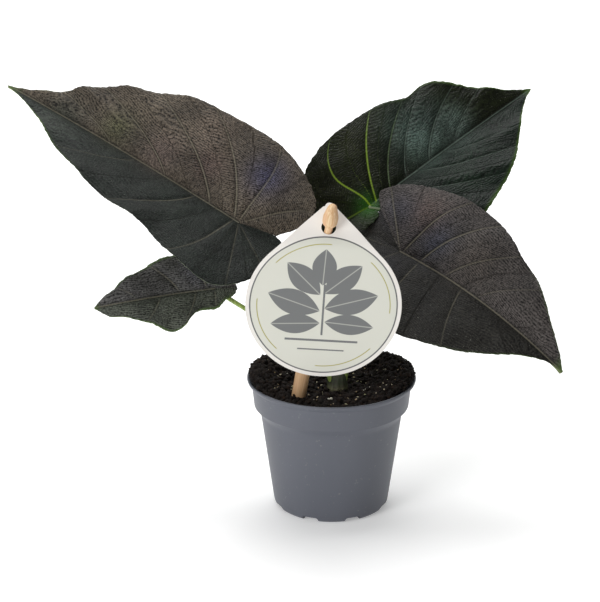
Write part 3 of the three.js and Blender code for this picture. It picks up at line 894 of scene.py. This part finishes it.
def leaf_margin():
    """The cut-thin edge of the blade, hairless, and paler than the faces so it reads as a fine line:
    partly its own colour, partly painted highlight where the curled edge catches the light.
    """
    made, tree, shader = material("leaf_margin")
    place = add_node(tree, "TexCoord", out="Object")
    patches = add_node(tree, "TexNoise", Vector=place, Scale=120, Detail=2)
    # Both greens are partly painted highlight of the curled edge catching the light.
    stops = ((0.35, srgb("#3C4432")), (0.65, srgb("#67705A")))
    base = add_node(tree, "ValToRGB", Fac=patches, stops=stops)
    young = add_node(tree, "Attribute", {"attribute_name": "young"}, out="Fac")
    fill(shader, Base_Color=coats(tree, base, (srgb("#6F7D45"), young)), Roughness=0.5)
    return made


class PLANT_OT_leaves(bpy.types.Operator):
    """Model the four blades with their veins, wrinkles and margins"""

    bl_idname = "plant.leaves"
    bl_label = "Leaf blades"

    def execute(self, context):
        settings = context.scene.alocasia_leaf
        back = leaf_underside(settings)
        edge = leaf_margin()
        faces = {"leaf_dark": velvet_leaf(settings), "leaf_green": glossy_leaf(settings)}
        for key, leaf in LEAVES.items():
            add_blade(key, leaf, (faces[LEAF_SLOTS[key]], back, edge))
        return {"FINISHED"}


# Leaf stalks and crown


def stalk_curve(leaf, steps):
    """Points from the crown to just inside the blade, in metres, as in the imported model."""
    petiole = leaf["petiole"]
    origin, _, _, normal, _ = leaf_axes(leaf)
    angle = math.radians(petiole["side"])
    outward = Vector((math.cos(angle), math.sin(angle), 0))
    base = CROWN_PLACE + outward * CROWN_SPREAD
    base.z = CROWN_TOP - SOCKET_DEPTH
    lift = base + outward * petiole["rise"] * 0.12 * MM
    lift.z += petiole["rise"] * MM
    end = (origin - normal * (BLADE_THICKNESS + 0.2)) * MM
    approach = end + Vector(petiole["reach"]) * MM
    points = []
    for i in range(steps + 1):
        t = i / steps
        s = 1 - t
        points.append(base * s**3 + lift * 3 * s * s * t + approach * 3 * s * t * t + end * t**3)
    return points


def stalk_mesh(leaf):
    """A slender round stalk, thickest in its sheath, flared and flattened where it meets the blade."""
    steps = 60
    centres = stalk_curve(leaf, steps)
    petiole = leaf["petiole"]
    radii = []
    for i in range(steps + 1):
        t = i / steps
        radius = petiole["base"] + (petiole["top"] - petiole["base"]) * min(1, t * 1.4)
        radii.append((radius + 0.7 * bell(1 - t, 0.035)) * MM)
    bm = tube(centres, radii, 20)
    origin, _, _, normal, _ = leaf_axes(leaf)
    for vert in bm.verts:
        off = vert.co / MM - origin
        above = off.dot(normal) + STALK_BELOW_BLADE
        if off.length < STALK_JOINT_REACH and above > 0:
            vert.co -= normal * above * MM
    return bm


def green_stalk(settings):
    """Fleshy petiole: smooth, waxy and faintly streaked along its length."""
    made, tree, shader = material("green_stalk")
    place = add_node(tree, "TexCoord", out="Object")
    streaks = add_node(tree, "Mapping", Vector=place, Scale=(3, 3, 0.35))
    mottle = add_node(tree, "TexNoise", Vector=streaks, Scale=220, Detail=3)
    stops = ((0.3, srgb("#6E8440")), (0.55, settings.stalk), (0.75, srgb("#A9B878")))
    base = add_node(tree, "ValToRGB", Fac=mottle, stops=stops)
    fill(
        shader,
        Base_Color=base,
        Roughness=0.42,
        IOR=1.42,
        Subsurface_Weight=0.08,
        Subsurface_Radius=(0.002, 0.003, 0.001),
        Normal=add_node(tree, "Bump", Strength=0.3, Distance=0.1 * MM, Height=mottle),
    )
    return made


def crown_skin():
    """Stem base in its old sheaths: dark green above, paler lower down and dark brown at the soil, with
    stains all over.
    """
    made, tree, shader = material("crown_sheath")
    place = add_node(tree, "TexCoord", out="Object")
    height = add_node(tree, "SeparateXYZ", Vector=place, out="Z")
    rise = add_node(tree, "MapRange", Value=height, From_Min=SOIL_LEVEL, From_Max=CROWN_TOP)
    stops = ((0, srgb("#2A241A")), (0.2, srgb("#55553C")), (0.5, srgb("#2C331E")))
    base = add_node(tree, "ValToRGB", Fac=rise, stops=stops)
    stains = add_node(tree, "TexNoise", Vector=place, Scale=500, Detail=3)
    dirty = add_node(tree, "MapRange", Value=stains, From_Min=0.5, From_Max=0.7)
    fill(shader, Base_Color=coats(tree, base, (srgb("#2A2018"), dirty)), Roughness=0.6)
    return made


def crown_mesh():
    """A short stem base, ribbed by the edges of its sheaths."""
    profile = (
        (0, 78),
        (5, 78),
        (7, 82),
        (7, 92),
        (7.5, 96),
        (6.9, 100),
        (6.2, 104),
        (4.6, 106.4),
        (0, 107),
    )
    bm = spun([(r * MM, z * MM) for r, z in profile], 64, soften=0.8 * MM)
    bmesh.ops.subdivide_edges(bm, edges=bm.edges, cuts=1, use_grid_fill=True)
    for vert in bm.verts:
        angle = math.atan2(vert.co.y, vert.co.x)
        ribs = 1 + 0.06 * math.sin(3 * angle + vert.co.z / (6 * MM)) + 0.03 * math.sin(11 * angle)
        vert.co.x *= ribs
        vert.co.y *= ribs
    bmesh.ops.translate(bm, verts=bm.verts, vec=CROWN_PLACE)
    return bm


class PLANT_OT_stalks(bpy.types.Operator):
    """Model the crown and the four leaf stalks"""

    bl_idname = "plant.stalks"
    bl_label = "Crown and stalks"

    def execute(self, context):
        settings = context.scene.alocasia_pot
        finish_piece("crown_base", crown_mesh(), [crown_skin()], "stem_green", "crown")
        green = green_stalk(settings)
        for key, leaf in LEAVES.items():
            finish_piece(f"stalk_{key}", stalk_mesh(leaf), [green], "stem_green", f"petiole_{key}")
        return {"FINISHED"}


# Pot


def wall_radius(height):
    """Outer radius of the pot's wall under the ledge."""
    slope = (LEDGE_RADIUS - FOOT_RADIUS) / (LEDGE_BOTTOM - FOOT_CORNER)
    return FOOT_RADIUS + slope * (height - FOOT_CORNER)


def pot_profile():
    """The pot's outline from the middle of its base, out, up, over the lip and down inside."""
    lip_bottom = POT_HEIGHT - LIP_HEIGHT
    corner = []
    for share in (0.25, 0.5, 0.75):
        angle = share * math.pi / 2
        inset = (FOOT_CORNER - POT_WALL * 0.2) * (1 - math.sin(angle))
        corner.append((FOOT_RADIUS - inset, FOOT_CORNER * (1 - math.cos(angle))))
    return [
        (0, 0),
        (FOOT_RADIUS - FOOT_CORNER, 0),
        *corner,
        (FOOT_RADIUS, FOOT_CORNER),
        (wall_radius(LEDGE_FOOT), LEDGE_FOOT),
        *((radius * MM, height * MM) for radius, height in LEDGE_SWELL),
        (BAND_BOTTOM_RADIUS, BAND_BOTTOM),
        (BAND_TOP_RADIUS, lip_bottom - LIP_TAPER),
        (RIM_RADIUS - 0.3 * MM, lip_bottom),
        (RIM_RADIUS, POT_HEIGHT - 0.6 * MM),
        (RIM_RADIUS - 0.4 * MM, POT_HEIGHT),
        (RIM_RADIUS - 1.3 * MM, POT_HEIGHT),
        (BAND_TOP_RADIUS - POT_WALL + 0.8 * MM, POT_HEIGHT - 1.8 * MM),
        (BAND_TOP_RADIUS - POT_WALL, POT_HEIGHT - 3.5 * MM),
        (BAND_BOTTOM_RADIUS - POT_WALL, BAND_BOTTOM + POT_WALL / 2),
        (LEDGE_RADIUS - POT_WALL, LEDGE_BOTTOM + POT_WALL / 2),
        (wall_radius(POT_FLOOR) - POT_WALL, POT_FLOOR),
        (0, POT_FLOOR),
    ]


def drain_cutters():
    """Arched channels raised into the base, each with a round hole through the floor."""
    bm = bmesh.new()
    for i in range(DRAINS):
        turn = Matrix.Rotation((i + 0.5) * 2 * math.pi / DRAINS, 4, "Z")
        reach = RIM_RADIUS - DRAIN_FROM
        middle = Vector((0, -DRAIN_FROM - reach / 2, DRAIN_HEIGHT / 2 - 2 * MM))
        size = Matrix.Diagonal((DRAIN_WIDTH, reach, DRAIN_HEIGHT + 4 * MM, 1))
        channel = bmesh.ops.create_cube(bm, size=1, matrix=turn @ Matrix.Translation(middle) @ size)
        top = [
            edge
            for edge in {e for vert in channel["verts"] for e in vert.link_edges}
            if all(vert.co.z > 0 for vert in edge.verts) and edge.calc_length() > DRAIN_WIDTH * 1.5
        ]
        bmesh.ops.bevel(
            bm, geom=top, offset=1.6 * MM, segments=4, profile=0.5, affect="EDGES", material=-1
        )
        place = Matrix.Translation((0, -DRAIN_HOLE_AT, POT_FLOOR))
        bmesh.ops.create_cone(
            bm,
            cap_ends=True,
            segments=24,
            radius1=DRAIN_HOLE_RADIUS,
            radius2=DRAIN_HOLE_RADIUS,
            depth=8 * MM,
            matrix=turn @ place,
        )
    return bm


def moulded_polypropylene(settings):
    """Nursery pot in injection-moulded polypropylene: matte, finely grained, with faint flow marks."""
    made, tree, shader = material("moulded_polypropylene")
    place = add_node(tree, "TexCoord", out="Object")
    flow = add_node(tree, "Mapping", Vector=place, Scale=(1, 1, 0.35))
    marks = add_node(tree, "TexNoise", Vector=flow, Scale=26, Detail=4, Roughness=0.55)
    stops = ((0.3, srgb("#555861")), (0.7, settings.plastic))
    base = add_node(tree, "ValToRGB", Fac=marks, stops=stops)
    dust = add_node(tree, "TexNoise", Vector=place, Scale=420, Detail=3)
    specks = add_node(tree, "MapRange", Value=dust, From_Min=0.66, From_Max=0.74, To_Max=0.35)
    colour = coats(tree, base, (srgb("#8E8D8A"), specks))
    rough = add_node(tree, "MapRange", Value=marks, To_Min=0.42, To_Max=0.56)
    grain = add_node(tree, "TexNoise", Vector=place, Scale=2600, Detail=1)
    relief = add_node(tree, "Bump", Strength=0.12, Distance=0.05 * MM, Height=grain)
    fill(shader, Base_Color=colour, Roughness=rough, IOR=1.49, Normal=relief)
    return made


class PLANT_OT_pot(bpy.types.Operator):
    """Turn the nursery pot and cut its drainage channels"""

    bl_idname = "plant.pot"
    bl_label = "Pot"

    def execute(self, context):
        plastic = moulded_polypropylene(context.scene.alocasia_pot)
        body = spun(pot_profile(), POT_STEPS, soften=0.35 * MM)
        piece = finish_piece("nursery_pot", body, [plastic], "pot_plastic", "pot")
        cut_away(piece, drain_cutters())
        sharpen(piece, 32)
        return {"FINISHED"}


# Soil


def soil_height(x, y):
    """Height of the soil, heaped at the two sides and the back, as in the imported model."""
    radius = math.hypot(x, y)
    angle = math.atan2(y, x)
    share = radius / (BAND_TOP_RADIUS - POT_WALL)
    side = abs(math.cos(angle)) ** 3
    back = max(0, math.sin(angle))
    bank = bell(share - 0.9, 0.22)
    px, py = x / MM, y / MM
    crumbs = (
        math.sin(0.71 * px + 1.3) * math.sin(0.63 * py + 0.4)
        + 0.6 * math.sin(1.27 * px - 0.9 * py)
        + 0.5 * math.sin(0.35 * px + 1.1 * py + 2)
    )
    settle = 1 - 0.7 * share**8
    heap = bank * (SOIL_SIDE_HEAP * side + SOIL_BACK_HEAP * back)
    return SOIL_LEVEL + heap + SOIL_LUMP / 2 * crumbs * settle


def soil_mesh():
    """The ball of soil: plain inside the pot, lumpy at its surface."""
    rings = 60
    foot = POT_FLOOR + 0.3 * MM
    shell = [
        (0, foot),
        (wall_radius(POT_FLOOR) - SOIL_INSET, foot),
        (LEDGE_RADIUS - SOIL_INSET, LEDGE_BOTTOM + SOIL_OVER_LEDGE),
        (BAND_BOTTOM_RADIUS - SOIL_INSET, BAND_BOTTOM + SOIL_OVER_LEDGE),
        (SOIL_EDGE, SOIL_LEVEL - 4 * MM),
    ]
    top = [(SOIL_EDGE * (1 - i / rings), SOIL_LEVEL) for i in range(rings + 1)]
    bm = spun(shell + top, 220)
    for vert in bm.verts:
        if vert.co.z < SOIL_LEVEL - 1 * MM:
            continue
        rough = uneven(vert.co / MM, SOIL_ROUGHNESS)
        vert.co.z = soil_height(vert.co.x, vert.co.y) + rough * MM
    return bm


def crumb_mesh(count, sizes, spread, seed):
    """Lumps scattered over the soil and the rim, each a low ball pushed out of round."""
    draw = random.Random(seed)
    bm = bmesh.new()
    for _ in range(count):
        radius, angle = spread(draw)
        x, y = radius * math.cos(angle), radius * math.sin(angle)
        size = draw.uniform(*sizes) * MM
        stretch = Matrix.Diagonal((draw.uniform(0.7, 1.4), draw.uniform(0.7, 1.3), CRUMB_HEIGHT, 1))
        turn = Matrix.Rotation(draw.uniform(0, 6.3), 4, "Z")
        tilt = Matrix.Rotation(draw.uniform(-0.6, 0.6), 4, "X")
        height = max(soil_height(x, y), RIM_SEAT if radius > RIM_INSIDE else 0)
        place = Matrix.Translation((x, y, height + size * 0.25))
        ball = bmesh.ops.create_icosphere(
            bm, subdivisions=1, radius=size, matrix=place @ (turn @ tilt) @ stretch
        )
        for vert in ball["verts"]:
            vert.co += Vector([draw.uniform(-1, 1) for _ in range(3)]) * size * 0.28
    return bm


def damp_peat(settings):
    """Damp peat: almost black, loose and matte, with browner fibres showing."""
    made, tree, shader = material("damp_peat")
    place = add_node(tree, "TexCoord", out="Object")
    lumps = add_node(tree, "TexNoise", Vector=place, Scale=260, Detail=5, Roughness=0.65)
    stops = (
        (0.35, srgb("#0C0807")),
        (0.55, settings.soil),
        (0.68, srgb("#2E2117")),
        (0.8, srgb("#4A3626")),
    )
    base = add_node(tree, "ValToRGB", Fac=lumps, stops=stops)
    relief = add_node(tree, "Bump", Strength=0.8, Distance=0.5 * MM, Height=lumps)
    fill(shader, Base_Color=base, Roughness=0.9, Specular_IOR_Level=0.25, Normal=relief)
    return made


def pale_grit():
    """Perlite, lime and feed grains: dry, chalky and off-white to tan and grey-green."""
    made, tree, shader = material("pale_grit")
    place = add_node(tree, "TexCoord", out="Object")
    cells = add_node(tree, "TexNoise", Vector=place, Scale=90, Detail=0)
    stops = (
        (0.3, srgb("#8B8A68")),
        (0.45, srgb("#C9BFA4")),
        (0.55, srgb("#8A6E4A")),
        (0.7, srgb("#B9B7A8")),
    )
    fill(shader, Base_Color=add_node(tree, "ValToRGB", Fac=cells, stops=stops), Roughness=0.85)
    return made


class PLANT_OT_soil(bpy.types.Operator):
    """Fill the pot with soil and scatter its crumbs and pale grains"""

    bl_idname = "plant.soil"
    bl_label = "Soil"

    def execute(self, context):
        settings = context.scene.alocasia_pot
        peat = damp_peat(settings)
        finish_piece("soil_ball", soil_mesh(), [peat], "soil", "soil")

        def all_over(draw):
            return 54.6 * MM * math.sqrt(draw.random()), draw.uniform(0, 2 * math.pi)

        def open_ground(draw):
            return 50 * MM * math.sqrt(draw.random()), draw.uniform(0, 2 * math.pi)

        def over_the_sides(draw):
            angle = draw.gauss(0.1, 0.32) + math.pi * draw.randint(0, 1)
            return draw.uniform(52, 57.8) * MM, angle

        def along_the_rim(draw):
            return draw.uniform(53.5, 58.2) * MM, draw.uniform(0, 2 * math.pi)

        # Each scatter's piece, count, smallest and largest radius in millimetres, place, seed, finish
        scatters = (
            ("soil_crumbs", settings.crumbs, (0.8, 2.3), all_over, 11, peat),
            ("soil_spill", 360, (0.9, 2.1), over_the_sides, 3, peat),
            ("soil_edging", 900, (0.6, 1.3), along_the_rim, 8, peat),
            ("soil_grit", 190, (0.4, 1), open_ground, 5, pale_grit()),
        )
        for name, count, sizes, spread, seed, finish in scatters:
            finish_piece(name, crumb_mesh(count, sizes, spread, seed), [finish], "soil")
        return {"FINISHED"}


# Label card and stick


def card_axes():
    """The card's middle and its unit axes to the front, to the right and up."""
    front = Vector((0, -math.cos(CARD_LEAN), -math.sin(CARD_LEAN)))
    turn = Matrix.Rotation(-CARD_TURN, 3, front)
    right = turn @ Vector((1, 0, 0))
    rise = turn @ Vector((0, -math.sin(CARD_LEAN), math.cos(CARD_LEAN)))
    return CARD_CENTRE, front, right, rise


def card_point(across, distance, depth):
    """A point of the bent card, in millimetres, from its place on the flat card."""
    centre, front, right, rise = card_axes()
    arc = min(max(0, distance - CARD_BEND_START) / CARD_BEND_RADIUS, CARD_BEND_ANGLE)
    straight = max(0, distance - CARD_BEND_START - CARD_BEND_RADIUS * CARD_BEND_ANGLE)
    up = min(distance, CARD_BEND_START) + CARD_BEND_RADIUS * math.sin(arc) + straight * math.cos(arc)
    back = CARD_BEND_RADIUS * (1 - math.cos(arc)) + straight * math.sin(arc)
    lifted = rise * (up + depth * math.sin(arc)) + front * (depth * math.cos(arc) - back)
    return centre + right * across + lifted


def card_half_width(distance):
    """Half the card's width: a disc, two straight lines towards the apex, and a round tip."""
    if distance <= CARD_RADIUS**2 / CARD_APEX:
        return math.sqrt(max(0, CARD_RADIUS**2 - distance**2))
    reach = (CARD_APEX - distance) * CARD_SLOPE
    past = distance - CARD_TIP + CARD_TIP_RADIUS
    if past <= 0:
        return reach
    return min(reach, math.sqrt(max(0, CARD_TIP_RADIUS**2 - past**2)))


def card_mesh():
    """The flat drop-shaped card as a grid, bent, with its face set forward by half the card's thickness.
    """
    bm = bmesh.new()
    bmesh.ops.create_grid(bm, x_segments=30, y_segments=120, size=1)
    for vert in bm.verts:
        swing = math.cos(math.pi * (vert.co.y + 1) / 2)
        distance = (CARD_TIP - CARD_RADIUS) / 2 - (CARD_TIP + CARD_RADIUS) / 2 * swing
        across = vert.co.x * card_half_width(distance)
        vert.co = card_point(across, distance, CARD_THICKNESS / 2) * MM
    bmesh.ops.remove_doubles(bm, verts=bm.verts, dist=0.01 * MM)
    if sum((f.normal for f in bm.faces), Vector()).dot(card_axes()[1]) < 0:
        bmesh.ops.reverse_faces(bm, faces=bm.faces)
    return bm


def flat_place(point):
    """A point of the bent card's place on the flat card, in millimetres: card_point turned round."""
    centre, front, right, rise = card_axes()
    off = point - centre
    up, back = off.dot(rise), -off.dot(front)
    if up <= CARD_BEND_START:
        return off.dot(right), up
    arc = math.atan2(up - CARD_BEND_START, CARD_BEND_RADIUS - back)
    if arc <= CARD_BEND_ANGLE:
        return off.dot(right), CARD_BEND_START + CARD_BEND_RADIUS * arc
    sin, cos = math.sin(CARD_BEND_ANGLE), math.cos(CARD_BEND_ANGLE)
    along_up = up - CARD_BEND_START - CARD_BEND_RADIUS * sin
    along_back = back - CARD_BEND_RADIUS * (1 - cos)
    return off.dot(right), CARD_HOLE_AT + along_up * cos + along_back * sin


def place_print(card):
    """Stores each point's place on the flat card, round the cut hole too, for the print to follow."""
    places = card.data.attributes.new("print_place", "FLOAT_VECTOR", "POINT")
    for vert, place in zip(card.data.vertices, places.data):
        across, distance = flat_place(vert.co / MM)
        place.vector = (across * MM, distance * MM, 0)


def hole_cutter():
    """A round bar through the card's hole, square to the card there."""
    middle = card_point(0, CARD_HOLE_AT, 0) * MM
    out = (card_point(0, CARD_HOLE_AT, 1) * MM - middle).normalized()
    place = Matrix.Translation(middle) @ out.to_track_quat("Z", "Y").to_matrix().to_4x4()
    bm = bmesh.new()
    radius = CARD_HOLE_RADIUS * MM
    bmesh.ops.create_cone(
        bm, cap_ends=True, segments=48, radius1=radius, radius2=radius, depth=8 * MM, matrix=place
    )
    return bm


# Printed sprig: a plain curved twig with paired leaves, as (across, up, degrees, length, half width)
SPRIG_LEAVES = (
    (-1.5, 15, 88, 27, 8.4),
    (0, 9, 42, 33, 8.6),
    (-2.6, 8, 136, 33, 8.6),
    (0.6, -2, 18, 38, 9.4),
    (-2.2, -4, 162, 38, 9.4),
    (1.2, -12, -4, 34, 7.6),
    (-1.6, -13, 184, 34, 7.6),
)

# Plain printed bars, the sprig's stem and two rules below it, as (up, half width, half height)
BARS = ((-3, 0.7, 19), (-26, 25, 0.8), (-33, 16, 0.5))
FIELD_RADIUS = 50 * MM


def printed_leaf(tree, place, across, up, degrees, length, half_width):
    """Two masks of a lens-shaped leaf that starts at a point and lies at an angle: 1 inside it, and
    less on its midrib."""
    angle = math.radians(degrees)
    middle = Vector((across + math.cos(angle) * length / 2, up + math.sin(angle) * length / 2, 0))
    lens = add_node(
        tree,
        "Mapping",
        {"vector_type": "TEXTURE"},
        Vector=place,
        Location=middle * MM,
        Rotation=(0, 0, angle),
        Scale=(length / 2 * MM, half_width * MM, 1),
    )
    run, off = (add_node(tree, "SeparateXYZ", Vector=lens, out=axis) for axis in "XY")
    near = add_node(tree, "Math", "ABSOLUTE", off)
    outward = add_node(tree, "Math", "MULTIPLY_ADD", run, run, near)
    body = add_node(tree, "MapRange", None, outward, 1, 1 - 0.2 / half_width, 0, 1)
    rib = add_node(tree, "MapRange", None, near, 0.25 / half_width, 0.5 / half_width, 0.55, 1)
    return body, rib


def printed_card(settings):
    """Coated card, offset printed: an even satin face with thin rings and a plain leafy sprig."""
    made, tree, shader = material("coated_card")
    place = add_node(tree, "Attribute", {"attribute_name": "print_place"}, out="Vector")
    x, y = (add_node(tree, "SeparateXYZ", Vector=place, out=axis) for axis in "XY")
    radius = add_node(tree, "VectorMath", "LENGTH", place, out="Value")
    sprig = [(settings.ink, *printed_leaf(tree, place, *leaf)) for leaf in SPRIG_LEAVES]
    for up, half_width, half_height in BARS:
        level = add_node(tree, "Math", "COMPARE", y, up * MM, half_height * MM)
        sprig.append((settings.ink, level, add_node(tree, "Math", "COMPARE", x, 0, half_width * MM)))
    bearing = add_node(tree, "Math", "ARCTAN2", y, x)
    swing = add_node(tree, "Math", "SINE", add_node(tree, "Math", "MULTIPLY", bearing, 4))
    arcs = add_node(tree, "MapRange", Value=swing, From_Min=-0.3, From_Max=-0.2)
    colour = coats(
        tree,
        settings.paper,
        (settings.field, line_mask(tree, radius, 0, FIELD_RADIUS + 0.2 * MM, FIELD_RADIUS - 0.2 * MM)),
        *sprig,
        (srgb("#A8A25A"), line_mask(tree, radius, 45.4 * MM, 0.46 * MM, 0.22 * MM), arcs),
        (srgb("#5B5C5C"), line_mask(tree, radius, 50.2 * MM, 0.58 * MM, 0.34 * MM)),
    )
    fibres = add_node(tree, "TexNoise", Vector=place, Scale=900, Detail=2)
    relief = add_node(tree, "Bump", Strength=0.08, Distance=0.05 * MM, Height=fibres)
    fill(shader, Base_Color=colour, Roughness=0.45, Normal=relief)
    return made


def plain_card(settings):
    """The card's bare back and cut edge: uncoated, a little fibrous."""
    made, tree, shader = material("bare_card")
    place = add_node(tree, "TexCoord", out="Object")
    fibres = add_node(tree, "TexNoise", Vector=place, Scale=600, Detail=4)
    stops = ((0.3, srgb("#D8D4CB")), (0.7, settings.paper))
    fill(shader, Base_Color=add_node(tree, "ValToRGB", Fac=fibres, stops=stops), Roughness=0.7)
    return made


def stick_matrix():
    """Places the upright stick along its leaning axis, through the card's hole."""
    _, front, _, rise = card_axes()
    direction = Matrix.Rotation(-(STICK_LEAN - CARD_TURN), 3, front) @ rise
    origin = card_point(0, CARD_HOLE_AT, 0) * MM
    return Matrix.Translation(origin) @ direction.to_track_quat("Z", "Y").to_matrix().to_4x4()


def raw_wood(settings):
    """Turned birch dowel, unvarnished: grain along the stick, faintly pink, and darkened on its lower
    part by painted shadow of the card.
    """
    made, tree, shader = material("raw_birch")
    grain_place = add_node(tree, "Attribute", {"attribute_name": "grain_place"}, out="Vector")
    drawn = add_node(tree, "Mapping", Vector=grain_place, Scale=(1, 1, 0.06))
    grain = add_node(tree, "TexNoise", Vector=drawn, Scale=900, Detail=4, Roughness=0.6)
    broad = add_node(tree, "TexNoise", Vector=drawn, Scale=180, Detail=2)
    stops = ((0.32, srgb("#C79A6C")), (0.5, settings.wood), (0.66, srgb("#E6CDA6")))
    base = add_node(tree, "ValToRGB", Fac=grain, stops=stops)
    blush = add_node(tree, "MapRange", Value=broad, From_Min=0.45, From_Max=0.65, To_Max=0.5)
    along = add_node(tree, "SeparateXYZ", Vector=grain_place, out="Z")
    # Painted shadow: the card's shade on the stick's lower part, mixed into the wood's colour.
    card_shadow = add_node(tree, "MapRange", None, along, *STICK_CARD_SHADOW, 0.6, 0)
    colour = coats(tree, base, (srgb("#D9A583"), blush), (srgb("#8F6E4A"), card_shadow))
    relief = add_node(tree, "Bump", Strength=0.3, Distance=0.12 * MM, Height=grain)
    fill(shader, Base_Color=colour, Roughness=0.62, Normal=relief)
    return made


class PLANT_OT_label(bpy.types.Operator):
    """Turn the stick, and bend and punch the card that hangs on its neck"""

    bl_idname = "plant.label"
    bl_label = "Label card and stick"

    def execute(self, context):
        settings = context.scene.alocasia_label
        finishes = [printed_card(settings), plain_card(settings)]
        card = finish_piece("drop_card", card_mesh(), finishes, "card", "label_card")
        shell = card.modifiers.new("Card thickness", "SOLIDIFY")
        shell.thickness = CARD_THICKNESS * MM
        shell.offset = -1
        shell.material_offset = 1
        shell.material_offset_rim = 1
        apply_modifiers(card)
        cut_away(card, hole_cutter())
        sharpen(card, 40)
        place_print(card)
        body = spun([(r * MM, z * MM) for r, z in STICK_PROFILE], 56, soften=1.2 * MM)
        grain_place = body.verts.layers.float_vector.new("grain_place")
        for vert in body.verts:
            vert[grain_place] = vert.co
        bmesh.ops.transform(body, matrix=stick_matrix(), verts=body.verts)
        front = card_axes()[1]
        for vert in body.verts:
            rise = min(1, max(0, (vert[grain_place].z / MM - HEAD_SHIFT_FROM) / HEAD_SHIFT_RISE))
            vert.co += front * HEAD_FORWARD * MM * rise**2 * (3 - 2 * rise)
        finish_piece("round_stick", body, [raw_wood(settings)], "stick_wood", "label_stick")
        return {"FINISHED"}


# Stage


def soft_light(name, place, aim, size, power):
    """A square soft light at a place, aimed at a point."""
    lamp = bpy.data.lights.new(name, "AREA")
    lamp.shape = "SQUARE"
    lamp.size = size
    lamp.energy = power
    holder = bpy.data.objects.new(name, lamp)
    holder.location = place
    holder.rotation_euler = (aim - place).to_track_quat("-Z", "Y").to_euler()
    bpy.context.scene.collection.objects.link(holder)


def pale_floor():
    """Opal acrylic table, faintly lit from below, so that the ground goes almost white."""
    made, tree, shader = material("opal_acrylic")
    place = add_node(tree, "TexCoord", out="Object")
    tone = add_node(tree, "TexNoise", Vector=place, Scale=3, Detail=2)
    base = add_node(tree, "ValToRGB", Fac=tone, stops=((0.3, grey(0.86)), (0.7, grey(0.88))))
    fill(shader, Base_Color=base, Roughness=0.9, Emission_Color=grey(1), Emission_Strength=FLOOR_GLOW)
    return made


class PLANT_OT_stage(bpy.types.Operator):
    """Lay the pale floor, and set the soft lights and the camera"""

    bl_idname = "plant.stage"
    bl_label = "Stage"

    def execute(self, context):
        bm = bmesh.new()
        bmesh.ops.create_grid(bm, x_segments=1, y_segments=1, size=6)
        mesh = bpy.data.meshes.new("studio_floor")
        bm.to_mesh(mesh)
        bm.free()
        mesh.materials.append(pale_floor())
        floor = bpy.data.objects.new("studio_floor", mesh)
        context.scene.collection.objects.link(floor)
        for light in LIGHTS:
            soft_light(*light)
        world = bpy.data.worlds.new("studio")
        world.use_nodes = True
        fill(world.node_tree.nodes["Background"], Color=grey(1), Strength=SKY_STRENGTH)
        context.scene.world = world
        context.scene.view_settings.view_transform = "Standard"
        camera = bpy.data.objects.new("camera", bpy.data.cameras.new("camera"))
        camera.data.sensor_width = SENSOR
        camera.data.lens = SENSOR * FOCAL_PIXELS / PHOTO_LONG_SIDE
        camera.data.clip_start = 0.05
        camera.data.clip_end = 40
        forward = Vector((0, math.cos(VIEW_DOWN), -math.sin(VIEW_DOWN)))
        camera.location = VIEW_TARGET - forward * VIEW_DISTANCE
        camera.rotation_euler = (math.pi / 2 - VIEW_DOWN, 0, 0)
        context.scene.collection.objects.link(camera)
        context.scene.camera = camera
        return {"FINISHED"}


class PLANT_PT_panel(bpy.types.Panel):
    """Lists the steps that build the plant"""

    bl_idname = "PLANT_PT_panel"
    bl_label = "Potted alocasia"
    bl_space_type = "VIEW_3D"
    bl_region_type = "UI"
    bl_category = "Alocasia"

    def draw(self, context):
        for group in SETTINGS:
            settings = getattr(context.scene, group)
            for name in settings.bl_rna.properties.keys():
                if name not in ("rna_type", "name"):
                    self.layout.prop(settings, name)
        for operator in OPERATORS:
            self.layout.operator(operator.bl_idname)


OPERATORS = (
    PLANT_OT_stage,
    PLANT_OT_pot,
    PLANT_OT_soil,
    PLANT_OT_stalks,
    PLANT_OT_leaves,
    PLANT_OT_label,
)
SETTINGS = {
    "alocasia_leaf": AlocasiaLeafSettings,
    "alocasia_pot": AlocasiaPotSettings,
    "alocasia_label": AlocasiaLabelSettings,
}


def register():
    for group, kind in SETTINGS.items():
        bpy.utils.register_class(kind)
        setattr(bpy.types.Scene, group, bpy.props.PointerProperty(type=kind))
    for kind in (*OPERATORS, PLANT_PT_panel):
        bpy.utils.register_class(kind)


def unregister():
    for kind in reversed((*OPERATORS, PLANT_PT_panel)):
        bpy.utils.unregister_class(kind)
    for group, kind in SETTINGS.items():
        delattr(bpy.types.Scene, group)
        bpy.utils.unregister_class(kind)


def main():
    register()
    for operator in OPERATORS:
        family, name = operator.bl_idname.split(".")
        getattr(getattr(bpy.ops, family), name)()


if __name__ == "__main__":
    main()
